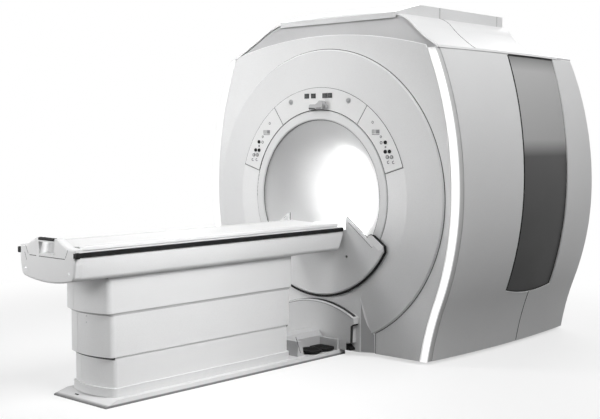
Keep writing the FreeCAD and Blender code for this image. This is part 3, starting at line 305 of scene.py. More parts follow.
# The middle wiper's grey, dark enough to paint the shade under the lip.
WIPER_SHADE_GREY = rubber("wiper_grey_and_shade", 0.1, 0.14, 0.7, 400, 0.15)
STRIP = lamp_white("lit_strip", 1.0)
BORE_PAINTED_GLOW = bore_painted_glow("bore_painted_glow")
EDGE_LIGHT = edge_light("lit_edge")
RING_KEY = ringed_key("ringed_key")
GLASS = dark_glass("display_glass")
RESIN = wound_resin("wound_resin")
STEEL = metal("brushed_steel", (0.62, 0.62, 0.63), 0.32, (4, 4, 260))
BARE_STEEL = metal("screw_steel", (0.55, 0.55, 0.56), 0.3, (700, 90, 700))
ALUMINIUM = metal("drawn_aluminium", (0.72, 0.73, 0.74), 0.34, (420, 420, 3))
COPPER = metal("etched_copper", (0.72, 0.38, 0.22), 0.35, (3, 300, 3))

NODE_FINISHES = (
    (FRONT, "front_cover disc_cover"), (RIM, "bore_rim"), (FLARE, "bore_flare_front bore_flare_rear"),
    # The bore tube and the bridge in it glow as painted light.
    (BORE_PAINTED_GLOW, "bore_tube bore_bridge"), (RESIN, "body_coil gradient_coil"), (STEEL, "magnet_vessel cold_head"),
    (FRAME_PAINT, "base_frame"), (APRON, "dock_apron"), (HOUSING, "pedal_housing"),
    (INLAY_REFLECTION, "side_inset_right side_inset_left"), (STRIP, "light_strip_right light_strip_left"),
    (FASCIA_SHADE_GREY, "roof_fascia"), (PANEL, "control_panel keypad_panel_right keypad_panel_left"),
    (KEY_GREY, "keypad_lamps alignment_light key_up_right key_up_left key_down_right key_down_left"),
    (KEY_BLACK, "key_stop_right key_stop_left key_in_right key_in_left key_out_right key_out_left"),
    (GLASS, "display_windows"), (LENS, "indicator_lenses"), (BASE, "table_base"),
    (SHROUD, "upper_shroud middle_shroud lower_shroud"), (ALUMINIUM, "lift_columns lift_rams"),
    (TABLE, "table_tub end_cap"), (CRADLE, "cradle"), (BARE_STEEL, "table_screws cover_screws"),
    (BLACK, "dock_gasket pedal_foot_end pedal_bore_end bumper_right bumper_left cradle_rollers handle_grip"))


def finish_nodes():
    """Gives each CAD node its finish; the covers that aren't listed share one."""
    finishes = {name: finish for finish, names in NODE_FINISHES for name in names.split()}
    for name, thing in NODES.items():
        thing.data.materials.clear()
        thing.data.materials.append(finishes.get(name, COVER))


# ---- making pieces

def new_object(name, data):
    made = bpy.data.objects.new(name, data)
    bpy.context.scene.collection.objects.link(made)
    return made


def put(name, mesh, finish, body):
    """A finished piece at the origin: one material, soft shading on shallow edges, riding on a body."""
    mesh.materials.clear()
    mesh.materials.append(finish)
    mesh.polygons.foreach_set("material_index", [0] * len(mesh.polygons))
    mesh.shade_smooth()
    mesh.set_sharp_from_angle(angle=radians(35))
    piece = new_object(name, mesh)
    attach(piece, body)
    return piece


def close_up(shape, name):
    """A bmesh turned into a mesh with doubled points merged and its faces outwards."""
    bmesh.ops.remove_doubles(shape, verts=shape.verts, dist=1e-6)
    bmesh.ops.recalc_face_normals(shape, faces=shape.faces)
    mesh = bpy.data.meshes.new(name)
    shape.to_mesh(mesh)
    shape.free()
    return mesh


def keep(name, shape, finish, body="gantry"):
    return put(name, close_up(shape, name), finish, body)


def spaced(first, last, gaps):
    return [first + (last - first) * step / gaps for step in range(gaps + 1)]


def block(shape, corner, opposite, soften=0.0):
    """Adds a box between two opposite corners, its edges softened by a bevel."""
    size = [abs(b - a) for a, b in zip(corner, opposite)]
    middle = Vector([(b + a) / 2 for a, b in zip(corner, opposite)])
    made = bmesh.ops.create_cube(shape, size=1, matrix=Matrix.Translation(middle) @ Matrix.Diagonal((*size, 1)))
    if soften:
        edges = list({edge for vert in made["verts"] for edge in vert.link_edges})
        bmesh.ops.bevel(shape, geom=edges, offset=soften, segments=2, profile=0.5, affect="EDGES")


def skin(shape, rings, closed=False, around=True):
    """Adds rings of points with faces between them, and caps unless the last ring joins the first."""
    made = [[shape.verts.new(point) for point in ring] for ring in rings]
    for first, second in zip(made, made[1:] + made[:1] if closed else made[1:]):
        for step in range(len(first) if around else len(first) - 1):
            following = (step + 1) % len(first)
            shape.faces.new((first[step], first[following], second[following], second[step]))
    if not closed:
        shape.faces.new(made[0])
        shape.faces.new(made[-1][::-1])
    return made


def prism(shape, outline, low, high, along_axis="y", sign=1):
    """Adds a flat outline of (a, b) points, mirrored by the sign, drawn out along an axis between two places."""
    order = {"y": lambda a, b, c: (a, c, b), "x": lambda a, b, c: (c, a, b), "z": lambda a, b, c: (a, b, c)}
    skin(shape, [[order[along_axis](sign * a, b, place) for a, b in outline] for place in (low, high)])


def lathe(shape, profile, centre, axis=(0, -1, 0), steps=40):
    """Adds a turned shape, closed at both ends: (radius, height) steps about an axis."""
    turn = Vector((0, 0, 1)).rotation_difference(Vector(axis)).to_matrix()
    rings = []
    for radius, height in profile:
        count = 1 if radius == 0 else steps
        angles = [2 * pi * step / steps for step in range(count)]
        points = [turn @ Vector((radius * cos(a), radius * sin(a), height)) for a in angles]
        rings.append([shape.verts.new(Vector(centre) + point) for point in points])
    for lower, upper in zip(rings, rings[1:]):
        for step in range(steps):
            corners = [lower[step % len(lower)], lower[(step + 1) % len(lower)],
                       upper[(step + 1) % len(upper)], upper[step % len(upper)]]
            shape.faces.new(dict.fromkeys(corners))
    if profile[0][0] and profile[-1][0]:
        shape.faces.new(rings[0])
        shape.faces.new(rings[-1][::-1])


def surround(shape, x_low, x_high, z_low, z_high, bar, y_low, y_high, soften):
    """Adds four bars round an opening, from the outer corners they share."""
    for left, right, bottom, top in ((x_low, x_high, z_low, z_low + bar), (x_low, x_high, z_high - bar, z_high),
                                     (x_low, x_low + bar, z_low, z_high), (x_high - bar, x_high, z_low, z_high)):
        block(shape, (left, y_low, bottom), (right, y_high, top), soften)


def on_ring(angle_deg, radius, y=PANEL_FACE):
    """A point by its angle from the top and its distance from the bore's axis."""
    angle = radians(angle_deg)
    return Vector((radius * sin(angle), y, ISO_HEIGHT + radius * cos(angle)))


def ring_arc(radius, y, first, last, gaps):
    return [on_ring(angle, radius, y) for angle in spaced(first, last, gaps)]


SURFACES = {}


def drop(point, direction, name):
    """Where a line from a point meets a CAD node, or None."""
    if name not in SURFACES:
        mesh = NODES[name].data
        corners = [vert.co.copy() for vert in mesh.vertices]
        SURFACES[name] = BVHTree.FromPolygons(corners, [tuple(face.vertices) for face in mesh.polygons])
    return SURFACES[name].ray_cast(Vector(point), Vector(direction))[0]


def beside(sign, y, z, name):
    """Where a level line from well outside one side of the gantry meets a CAD node."""
    outside = 1.5
    return drop((sign * outside, y, z), (-sign, 0, 0), name)


def below(x, y, name):
    """The top of a CAD node at a place in plan, from well above the scanner."""
    above = 3
    return drop((x, y, above), (0, 0, -1), name)


def found(places):
    return [place for place in places if place is not None]


# ---- growing repeated things

def start_tree(name, **sizes):
    """A geometry tree with a shape coming in, named sizes, and a shape going out."""
    tree = bpy.data.node_groups.new(name, "GeometryNodeTree")
    for label, kind in {"Shape": "Geometry", **sizes, "Finish": "Material"}.items():
        tree.interface.new_socket(name=label, in_out="INPUT", socket_type="NodeSocket" + kind)
    tree.interface.new_socket(name="Shape", in_out="OUTPUT", socket_type="NodeSocketGeometry")
    return tree, tree.nodes.new("NodeGroupInput").outputs


def grow(tree, kind, settings=None, **inputs):
    return add(tree, kind, settings, "GeometryNode", **inputs)


def end_tree(tree, shape, finish):
    painted = grow(tree, "SetMaterial", Geometry=grow(tree, "RealizeInstances", Geometry=shape), Material=finish)
    tree.links.new(painted, tree.nodes.new("NodeGroupOutput").inputs["Shape"])
    return tree


def lay_out(tree, sizes, points, instance, turn, **more):
    """Ends a tree: its instance on every point, turned."""
    placed = grow(tree, "InstanceOnPoints", Points=points, Instance=instance, Rotation=turn, **more)
    return end_tree(tree, placed, sizes["Finish"])


def raised(tree, mesh, face, height):
    """The mesh and the top of a face that is drawn out."""
    return node(tree, "ExtrudeMesh", None, "GeometryNode", Mesh=mesh, Selection=face, Offset_Scale=height).outputs


def bolt_tree():
    """A low round head with a chamfer and a round socket at every point that comes in."""
    tree, sizes = start_tree("bolt_heads", Axis="Vector", Head_radius="Float", Head_height="Float",
                             Socket_radius="Float", Socket_depth="Float")
    chamfered = 0.86
    head = node(tree, "MeshCylinder", None, "GeometryNode", Vertices=30, Radius=sizes["Head_radius"],
                Depth=sizes["Head_height"]).outputs
    top = raised(tree, head["Mesh"], head["Top"], sums(tree, "MULTIPLY", sizes["Head_height"], 0.25))
    narrowed = grow(tree, "ScaleElements", Geometry=top["Mesh"], Selection=top["Top"], Scale=chamfered)
    ring = raised(tree, narrowed, top["Top"], 0.0)
    share = sums(tree, "DIVIDE", sizes["Socket_radius"], sums(tree, "MULTIPLY", sizes["Head_radius"], chamfered))
    inner = grow(tree, "ScaleElements", Geometry=ring["Mesh"], Selection=ring["Top"], Scale=share)
    bolt = raised(tree, inner, ring["Top"], sums(tree, "MULTIPLY", sizes["Socket_depth"], -1.0))["Mesh"]
    turn = add(tree, "AlignRotationToVector", {"axis": "Z"}, "FunctionNode", Vector=sizes["Axis"])
    return lay_out(tree, sizes, sizes["Shape"], bolt, turn)


def bead_tree():
    """A round bead along every path that comes in."""
    tree, sizes = start_tree("bead", Radius="Float", Sides="Int")
    curve = grow(tree, "MeshToCurve", Mesh=sizes["Shape"])
    ring = grow(tree, "CurvePrimitiveCircle", Resolution=sizes["Sides"], Radius=sizes["Radius"])
    tube = grow(tree, "CurveToMesh", Curve=curve, Profile_Curve=ring, Fill_Caps=True)
    return end_tree(tree, tube, sizes["Finish"])


def in_a_row(tree, sizes, count, step, instance, tilt, **more):
    """Ends a tree: its instance repeated from the start by a step."""
    row = grow(tree, "MeshLine", {"mode": "OFFSET"}, Count=count, Start_Location=sizes["Start"], Offset=step)
    turn = add(tree, "EulerToRotation", None, "FunctionNode", Euler=tilt)
    return lay_out(tree, sizes, row, instance, turn, **more)


def slat_tree():
    """Thirteen tilted slats, one above the other, that fill a grille."""
    tree, sizes = start_tree("slats", Start="Vector")
    slat = grow(tree, "MeshCube", Size=(GRILLE_WIDE, 0.0008, 0.0085))
    return in_a_row(tree, sizes, 13, (0, 0, GRILLE_HIGH / 13), slat, (0.12, 0, 0))


def rib_tree():
    """Nine round ribs across a rounded pad: each is cut short where the pad's outline draws in."""
    tree, sizes = start_tree("ribs", Start="Vector")
    index = grow(tree, "InputIndex")
    off_middle = sums(tree, "ABSOLUTE", sums(tree, "SUBTRACT", sums(tree, "DIVIDE", index, 4.0), 1.0))
    room = sums(tree, "SQRT", sums(tree, "SUBTRACT", 1.08, sums(tree, "POWER", off_middle, 2.6)))
    length = add(tree, "CombineXYZ", X=1.0, Y=1.0, Z=room)
    rod = grow(tree, "MeshCylinder", Vertices=10, Radius=0.0022, Depth=0.108)
    return in_a_row(tree, sizes, 9, (0, PAD_LONG / 8, 0), rod, (0, pi / 2, 0), Scale=length)


def rung_tree():
    """Sixteen copper rungs laid round the body coil's tube."""
    tree, sizes = start_tree("rungs")
    circle = grow(tree, "MeshCircle", Vertices=16, Radius=0.3376)
    bar = grow(tree, "MeshCube", Size=(0.0016, 0.022, 0.48))
    outwards = grow(tree, "InputPosition")
    turn = add(tree, "AlignRotationToVector", {"axis": "X", "pivot_axis": "Z"}, "FunctionNode", Vector=outwards)
    placed = grow(tree, "InstanceOnPoints", Points=circle, Instance=bar, Rotation=turn)
    moved = grow(tree, "Transform", Geometry=placed, Rotation=(pi / 2, 0, 0), Translation=(0, 0, ISO_HEIGHT))
    return end_tree(tree, moved, sizes["Finish"])


BEADS, BOLTS, SLATS, RIBS, RUNGS = bead_tree(), bolt_tree(), slat_tree(), rib_tree(), rung_tree()


def points_mesh(points=(), edges=()):
    mesh = bpy.data.meshes.new("points")
    mesh.from_pydata([tuple(point) for point in points], edges, [])
    return mesh


def grown(name, tree, start, finish, body, **sizes):
    """Runs a tree on a starting mesh with the given sizes and keeps the result as a plain piece."""
    host = new_object(name + "_start", start)
    modifier = host.modifiers.new("grow", "NODES")
    modifier.node_group = tree
    keys = {item.name: item.identifier for item in tree.interface.items_tree if item.in_out == "INPUT"}
    for label, given in {**sizes, "Finish": finish}.items():
        modifier[keys[label]] = given
    bpy.context.view_layer.update()
    mesh = bpy.data.meshes.new_from_object(host.evaluated_get(bpy.context.evaluated_depsgraph_get()))
    mesh.name = name
    host.modifiers.remove(modifier)
    bpy.data.objects.remove(host)
    return put(name, mesh, finish, body)


def bead(name, paths, finish, radius, sides=8, body="gantry", closed=False):
    """A round bead along each path of points."""
    points, edges = [], []
    for path in paths:
        first = len(points)
        points += path
        edges += [(step, step + 1) for step in range(first, len(points) - 1)]
        if closed:
            edges.append((len(points) - 1, first))
    return grown(name, BEADS, points_mesh(points, edges), finish, body, Radius=radius, Sides=sides)


def bolts(name, spots, head, socket, way=1, body="gantry"):
    """A steel bolt head at each spot, facing along the bore; head and socket are (radius, height)."""
    return grown(name, BOLTS, points_mesh(spots), BARE_STEEL, body, Axis=(0, way, 0), Head_radius=head[0],
                 Head_height=head[1], Socket_radius=socket[0], Socket_depth=socket[1])


# ---- lines that several pieces follow

def arc_steps(start, end, radius, turn, steps):
    """Points after start on an arc of under half a circle; turn is 1 to the left and -1 to the right."""
    start, end = Vector(start), Vector(end)
    chord = end - start
    left = Vector((-chord.y, chord.x)) / chord.length
    centre = (start + end) / 2 + left * turn * sqrt(radius ** 2 - (chord.length / 2) ** 2)
    first = atan2(start.y - centre.y, start.x - centre.x)
    sweep = 2 * asin(chord.length / 2 / radius) * turn
    angles = [first + sweep * step / steps for step in range(1, steps + 1)]
    return [centre + radius * Vector((cos(angle), sin(angle))) for angle in angles]


def follow(start, *parts, steps=28):
    """A line through parts of (end, radius, turn); a part with no radius is straight."""
    line = [Vector(start)]
    for end, radius, turn in parts:
        line += arc_steps(line[-1], end, radius, turn, steps) if radius else [Vector(end)]
    return line


def across_at(line, height):
    """Where a line that runs down the side of the gantry is at a height."""
    for upper, lower in zip(line, line[1:]):
        if upper.y >= height >= lower.y:
            return lower.x + (upper.x - lower.x) * (height - lower.y) / (upper.y - lower.y)
    return line[0].x if height > line[0].y else line[-1].x


OUTER_LINE = follow((0.915, 2.034), ((1.11, 1.1), 2.34, -1), ((0.98, 0.4), 1.95, -1), ((0.875, 0.02), 2.0, 1))
INNER_LINE = follow((0.853, 2.047), ((1.053, 1.1), 2.34, -1), ((0.923, 0.4), 1.95, -1), ((0.818, 0.02), 2.0, 1))


def bulge(y):
    """How much wider the gantry is at a place along the bore than at its front face."""
    half_depth, middle, bow = 0.785, -0.1, 8
    return (half_depth ** 2 - (y - middle) ** 2) / (2 * bow)


def shroud_plan(tier, wall):
    """The pedestal in plan: straight sides and bowed ends, drawn in for each tier and by a wall."""
    inset, bow = 0.0065 * tier + wall, 0.488
    half, corner = 0.196 - inset, 0.032 - inset / 2
    foot, head = -(2.886 - 0.023 * tier - wall), -(1.424 + 0.015 * tier + wall)
    start, end, past = half - 0.86 * corner, 0.36 * corner, 0.72 * corner
    return follow((-start, foot - end), ((start, foot - end), bow, 1), ((half, foot + past), corner, 1),
                  ((half, head - past), 0, 0), ((start, head + end), corner, 1), ((-start, head + end), bow, 1),
                  ((-half, head - past), corner, 1), ((-half, foot + past), 0, 0), ((-start, foot - end), corner, 1),
                  steps=10)[:-1]


# ---- gantry pieces

def make_light_strips():
    """The lit edge down each side of the front: a shallow dome that turns the corner onto the side."""
    profile = [(0.0, -0.8838, 0.0), (0.07, -0.8852, 0.06), (0.3, -0.8868, 0.24), (0.6, -0.887, 0.48),
               (0.85, -0.8858, 0.68), (0.96, -0.8838, 0.77), (0.995, -0.8795, 0.82), (1.0, -0.872, 0.86),
               (1.0, -0.853, 0.93), (1.0, -0.8294, 1.0), (0.5, -0.8355, 1.0), (0.0, -0.8355, 0.0)]
    for side, sign in SIDES:
        shape = bmesh.new()
        layer = shape.verts.layers.float.new("across")
        rings = []
        for height in spaced(0.02, 2.033, 110):
            inner, outer = across_at(INNER_LINE, height), across_at(OUTER_LINE, height)
            rings.append([(sign * (inner + share * (outer - inner)), y, height) for share, y, _ in profile])
        for ring in skin(shape, rings):
            for corner, (_, _, across) in zip(ring, profile):
                corner[layer] = across
        piece = keep(f"lit_edge_{side}", shape, EDGE_LIGHT)
        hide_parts(f"light_strip_{side}")


# name, angle and distance on the panel, and the turn of the arrow on its cap (None is a bar)
KEYS = [("stop", 56.8, 0.686, None), ("in", 62.5, 0.686, 180), ("out", 61.2, 0.655, 0), ("up", 65.8, 0.686, 90),
        ("down", 64.6, 0.655, -90)]
ARROW = [(0.0042, 0.0), (-0.0026, 0.0039), (-0.0026, -0.0039)]
BAR = [(-0.004, -0.0013), (0.004, -0.0013), (0.004, 0.0013), (-0.004, 0.0013)]
KEY_RADIUS = 0.0125


def key_cap(name, centre, finish, symbol_turn):
    """A push key with a rolled rim and a dished top; a moulded arrow or bar stands in the dish."""
    shape = bmesh.new()
    edge = KEY_RADIUS
    lathe(shape, [(0, 0.0036), (0.0055, 0.0037), (0.0088, 0.0042), (0.0102, 0.0049), (0.0113, 0.0049),
                  (0.0122, 0.0043), (edge, 0.0032), (edge, 0.0), (edge, -0.0006), (0, -0.0006)], centre)
    turn = radians(symbol_turn or 0)
    outline = [(centre.x + a * cos(turn) - b * sin(turn), centre.z + a * sin(turn) + b * cos(turn))
               for a, b in (BAR if symbol_turn is None else ARROW)]
    prism(shape, outline, centre.y - 0.0046, centre.y - 0.003)
    mesh = close_up(shape, name)
    ring = mesh.attributes.new("ring", "FLOAT", "POINT")
    ring.data.foreach_set("value", [hypot(vert.co.x - centre.x, vert.co.z - centre.z) / KEY_RADIUS
                                    for vert in mesh.vertices])
    body = name.removesuffix("_cap")
    piece = put(name, mesh, finish, body)
    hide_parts(body)


def make_keys():
    for side, sign in SIDES[::-1]:
        for key, angle, radius, turn in KEYS:
            finish = RING_KEY if key in ("up", "down") else KEY_BLACK
            key_cap(f"key_{key}_{side}_cap", on_ring(sign * angle, radius), finish, turn)


def flat_ring(shape, centre, inner, outer, height, sweep=360, start=0):
    """Adds a raised ring, or an open part of one, standing on the panel."""
    closed = sweep == 360
    angles = [radians(start + sweep * step / 28) for step in range(28 if closed else 29)]
    section = ((inner, 0), (inner, height), (outer, height), (outer, 0))
    rings = skin(shape, [[(centre.x + radius * cos(a), centre.y - rise, centre.z + radius * sin(a)) for a in angles]
                         for radius, rise in section], closed=True, around=closed)
    if not closed:
        for end in (0, -1):
            shape.faces.new([ring[end] for ring in rings])


def make_keypad_marks():
    """Printed-on symbols beside the keys: rings, a lying figure on a couch, and open rings at the foot."""
    high = 0.0008
    shape = bmesh.new()
    for sign in (-1, 1):
        flat_ring(shape, on_ring(sign * 42.7, 0.69), 0.005, 0.0095, high)
        flat_ring(shape, on_ring(sign * 52.5, 0.677), 0.0042, 0.0088, high)
        flat_ring(shape, on_ring(sign * 55.3, 0.656), 0.0056, 0.0108, high)
        lathe(shape, [(0, 0.0012), (0.005, 0.0011), (0.0068, 0.0004), (0.0074, 0), (0, 0)],
              on_ring(sign * 59.0, 0.671), steps=20)
        for angle, radius in ((68.9, 0.686), (67.6, 0.648)):
            flat_ring(shape, on_ring(sign * angle, radius), 0.0056, 0.0108, high, 270, 60)
        x, y, z = on_ring(sign * 48.0, 0.667)
        for place, wide, tall in ((-0.03, 0.0028, 0.0135), (-0.0185, 0.0028, 0.0135), (-0.007, 0.0028, 0.0135),
                                  (0.0155, 0.0145, 0.0125)):
            block(shape, (x + place - wide, y - high, z - tall), (x + place + wide, y, z + tall), 0.0004)
        block(shape, (x - 0.033, y - high, z - 0.0215), (x + 0.03, y, z - 0.017), 0.0004)
    piece = keep("keypad_marks", shape, PRINT_GREY)
    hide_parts("keypad_lamps")


def make_displays():
    """Black display panes with bevelled edges, held in three slim dark surrounds."""
    glass, surrounds = bmesh.new(), bmesh.new()
    for low, high in ((-0.131, -0.092), (-0.07, -0.031), (0.033, 0.0743), (0.0757, 0.117)):
        block(glass, (low + 0.0012, -0.9402, 1.7342), (high - 0.0012, -0.9372, 1.7628), 0.0006)
    for low, high in ((-0.131, -0.092), (-0.07, -0.031), (0.033, 0.117)):
        surround(surrounds, low - 0.001, high + 0.001, 1.732, 1.765, 0.0024, -0.9408, -0.9375, 0.0004)
    for piece in (keep("display_glass", glass, GLASS), keep("display_surround", surrounds, KEY_BLACK)):
        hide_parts("display_windows")


def make_lenses():
    """Two signal lamps: a turned bezel with a smoked dome in it."""
    bezels, domes = bmesh.new(), bmesh.new()
    for angle in (-21.8, 21.8):
        centre = on_ring(angle, 0.704)
        lathe(bezels, [(0.0136, 0.0), (0.0136, 0.0028), (0.015, 0.0042), (0.0178, 0.004), (0.019, 0.0024),
                       (0.019, 0.0), (0.0136, 0.0)], centre, steps=48)
        lathe(domes, [(0, 0.0072), (0.0032, 0.007), (0.0063, 0.0062), (0.0095, 0.0047), (0.0121, 0.0028),
                      (0.0135, 0.0012), (0.0135, 0), (0, 0)], centre, steps=40)
    for piece in (keep("lens_bezels", bezels, LINE_GREY), keep("lens_domes", domes, LENS)):
        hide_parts("indicator_lenses")


def make_projector_window():
    """The dark glass along the lower edge of the alignment light, and the slit its line shines from."""
    shape = bmesh.new()
    outline = [(-0.062, 1.6543), (-0.002, 1.6543), (-0.0005, 1.657), (-0.0005, 1.664), (-0.07, 1.6685),
               (-0.0713, 1.664), (-0.0695, 1.6585), (-0.0665, 1.6555)]
    prism(shape, outline, -0.9652, -0.94)
    block(shape, (0.008, -0.9828, 1.661), (0.056, -0.981, 1.666), 0.0008)
    keep("projector_glass", shape, GLASS)


def make_seams():
    """Dark joints in the roof skin, and the gaskets in the grooves round the service box."""
    paths = []
    for sign in (1, -1):
        for (x_from, x_to), (y_from, y_to), gaps in (((0.515, 0.945), (-0.25, -0.465), 18),
                                                     ((0.6, 0.87), (0.59, 0.85), 12)):
            spots = zip(spaced(x_from, x_to, gaps), spaced(y_from, y_to, gaps))
            paths.append(found(below(sign * x, y, "roof_cover") for x, y in spots))
    bead("roof_joints", paths, GAP, 0.0016)
    shape = bmesh.new()
    for y_low, y_high in ((-0.2655, -0.2605), (0.4695, 0.4745)):
        block(shape, (-0.5172, y_low, 2.3575), (0.5172, y_high, 2.3592), 0.0003)
        for sign in (-1, 1):
            block(shape, (sign * 0.5185 - 0.0012, y_low, 2.262), (sign * 0.5185 + 0.0012, y_high, 2.359), 0.0003)
    keep("service_box_gaskets", shape, GAP)


def make_trims():
    """Rolled edges along the top of the front face and both eaves, pale with painted highlight, and the joint behind
    each light strip.
    """
    section = [(-0.002, 2.0325), (0.0045, 2.0335), (0.0036, 2.039), (-0.0015, 2.0475), (-0.006, 2.0475)]
    eaves, joints = bmesh.new(), []
    for sign in (1, -1):
        skin(eaves, [[(sign * (0.9155 + bulge(y) + out), y, z) for out, z in section]
                     for y in spaced(-0.845, 0.66, 40)])
        joints.append([(sign * (across_at(OUTER_LINE, z) + 0.0004), -0.8292, z) for z in spaced(0.022, 2.03, 80)])
    keep("eave_trims", eaves, PALE_TRIM_HIGHLIGHT)
    arch = [(point.x, -0.8795, point.y) for point in follow((0.85, 2.047), ((-0.85, 2.047), 3.38, 1))]
    bead("front_arch_trim", [arch], PALE_TRIM_HIGHLIGHT, 0.0048, 12)
    bead("strip_joints", joints, LINE_GREY, 0.0026)


def window_front(sign, z, cover):
    """How far back a side cover reaches, at one height, before its window opens."""
    solid, opening, skin_at_least = -0.3, -0.02, 0.88
    for _ in range(14):
        middle = (solid + opening) / 2
        place = beside(sign, middle, z, cover)
        if place is not None and abs(place.x) > skin_at_least:
            solid = middle
        else:
            opening = middle
    return solid


def make_inlay_gaskets():
    """Round each smoked inlay: dark gaskets, a dark band on its front edge that is painted shade, a lip under the sill
    pale with painted highlight, and the joint below it.
    """
    rear = follow((0.464, 0.409), ((0.592, 2.03), 6.85, -1))
    sill = follow((-0.172, 0.425), ((0.464, 0.409), 1.66, 1))
    for side, sign in SIDES:
        cover, inset = f"side_cover_{side}", f"side_inset_{side}"
        for part, line, back, up in (("rear", rear, -0.003, 0), ("sill", sill, 0, 0.004)):
            path = found(beside(sign, point.x + back, point.y + up, inset) for point in line)
            bead(f"inlay_gasket_{part}_{side}", [path], GAP, 0.0026)
        lip = found(beside(sign, point.x, point.y - 0.0035, cover) for point in sill)
        bead(f"sill_lip_{side}", [[place - Vector((sign * 0.0016, 0, 0)) for place in lip]], PALE_TRIM_HIGHLIGHT, 0.0034, 10)
        seam = found(beside(sign, 0.144, z, cover) for z in spaced(0.012, 0.4, 24))
        bead(f"side_foot_joint_{side}", [[(place.x - sign * 0.0012, 0.15, place.z) for place in seam]], GAP, 0.0034)
        # The dark band down the front edge of the window is painted shade.
        deep, proud = Vector((sign * 0.003, 0, 0)), Vector((sign * 0.0007, 0, 0))
        rings = []
        for z in spaced(0.428, 2.024, 64):
            edge = window_front(sign, z, cover)
            near, far = (beside(sign, edge - back, z, cover) for back in (0.015, 0.0006))
            ring = (near - deep, near + proud, far + proud, far - deep)
            rings.append([(sign * min(abs(place.x), WIDEST), place.y, place.z) for place in ring])
        shape = bmesh.new()
        skin(shape, rings)
        keep(f"inlay_front_shade_{side}", shape, GAP)


def make_rear_fittings():
    """On the flat rear face: a louvred grille low on each side, a service plate, and round-headed screws."""
    frames, backs = bmesh.new(), bmesh.new()
    low, high, half, rim = 0.175, 0.175 + GRILLE_HIGH, GRILLE_WIDE / 2, 0.012
    for x in (-0.655, 0.655):
        block(backs, (x - half, 0.9202, low), (x + half, 0.9206, high))
        surround(frames, x - half - rim, x + half + rim, low - rim, high + rim, 0.013, REAR_FACE, 0.9226, 0.0008)
    keep("grille_frames", frames, COVER)
    keep("grille_backs", backs, GAP)
    for side, x in (("left", -0.655), ("right", 0.655)):
        grown(f"grille_slats_{side}", SLATS, points_mesh(), COVER, "gantry", Start=(x, 0.9214, low + 0.007))
    plate = bmesh.new()
    block(plate, (-0.17, REAR_FACE, 0.12), (0.17, 0.9218, 0.215), 0.0008)
    for place in (-0.12, -0.04, 0.04, 0.12):
        lathe(plate, [(0, 0.0028), (0.017, 0.0028), (0.0195, 0.0022), (0.0205, 0.0008), (0.0205, 0), (0, 0)],
              (place, 0.92, 0.1675), axis=(0, 1, 0), steps=36)
    keep("service_plate", plate, MID_GREY)
    spots = [(sign * x, 0.921, z) for x, z in ((0.7, 1.75), (0.86, 1.057), (0.76, 0.35)) for sign in (-1, 1)]
    heads = bolts("rear_screw_heads", spots, (0.009, 0.0015), (0.0042, 0.0009))
    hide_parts("cover_screws")
    small = [(x, 0.9218, z) for x in (-0.158, 0.158) for z in (0.132, 0.203)]
    small += [(side * 0.655 + x, 0.9222, z) for side in (-1, 1) for x in (-0.101, 0.101) for z in (0.169, 0.351)]
    bolts("plate_screws", small, (0.0042, 0.0008), (0.0018, 0.0006))


def make_panel_joints():
    """Fine dark joints: round the control panels, inside the rim, and round the disc down to the floor."""
    inner, outer, end = 0.5975, 0.7475, 73.4
    joints = [ring_arc(inner, -0.9372, -end, end, 120), ring_arc(outer, -0.9366, -end, end, 120)]
    joints += [[on_ring(angle, inner, -0.9372), on_ring(angle, outer, -0.9372)] for angle in (-end, -34.3, 34.3, end)]
    bead("panel_joints", joints, SEAM_GREY, 0.0017)
    bead("rim_joint", [ring_arc(0.5275, -0.9325, 0, 358, 179)], SEAM_GREY, 0.0024, closed=True)
    bead("rim_shadow_gap", [ring_arc(0.5952, -0.9345, 0, 358, 179)], SEAM_GREY, 0.0014, closed=True)
    half, radius, y = 0.46, 1.009, -0.885
    foot = degrees(asin(half / radius))
    line = [Vector((half, y, 0.022)), *ring_arc(radius, y, 180 - foot, foot - 180, 160), Vector((-half, y, 0.022))]
    bead("disc_gasket", [line], SEAM_GREY, 0.0024)


def make_rear_rail():
    """The rail under the roof's rear edge, with a row of vent slots."""
    rail, slots = bmesh.new(), bmesh.new()
    block(rail, (-0.62, 0.896, 2.02), (0.62, 0.904, 2.084), 0.0015)
    keep("rear_rail", rail, COVER)
    for x in spaced(-0.54, 0.54, 24):
        block(slots, (x - 0.016, 0.9036, 2.063), (x + 0.016, 0.9048, 2.069), 0.0004)
    keep("rear_rail_slots", slots, GAP)


def make_flank_shades():
    """Mid-grey sheets on the slanted flanks beside the dock's column: painted shade standing for the shade in the
    hollow of each flank.
    """
    outline = [(0.3709, 0.3794), (0.3777, 0.3258), (0.3912, 0.2656), (0.4096, 0.2125), (0.4303, 0.173),
               (0.4522, 0.1438), (0.4551, 0.0284), (0.3727, 0.0309)]
    shape = bmesh.new()
    for sign in (-1, 1):
        skin(shape, [[(sign * (x + out), -0.932 + 0.517 * (x - 0.372) + back, z) for x, z in outline]
                     for out, back in ((0.0005, -0.0009), (-0.0004, 0.0008))])
    keep("flank_painted_shade", shape, MID_GREY)


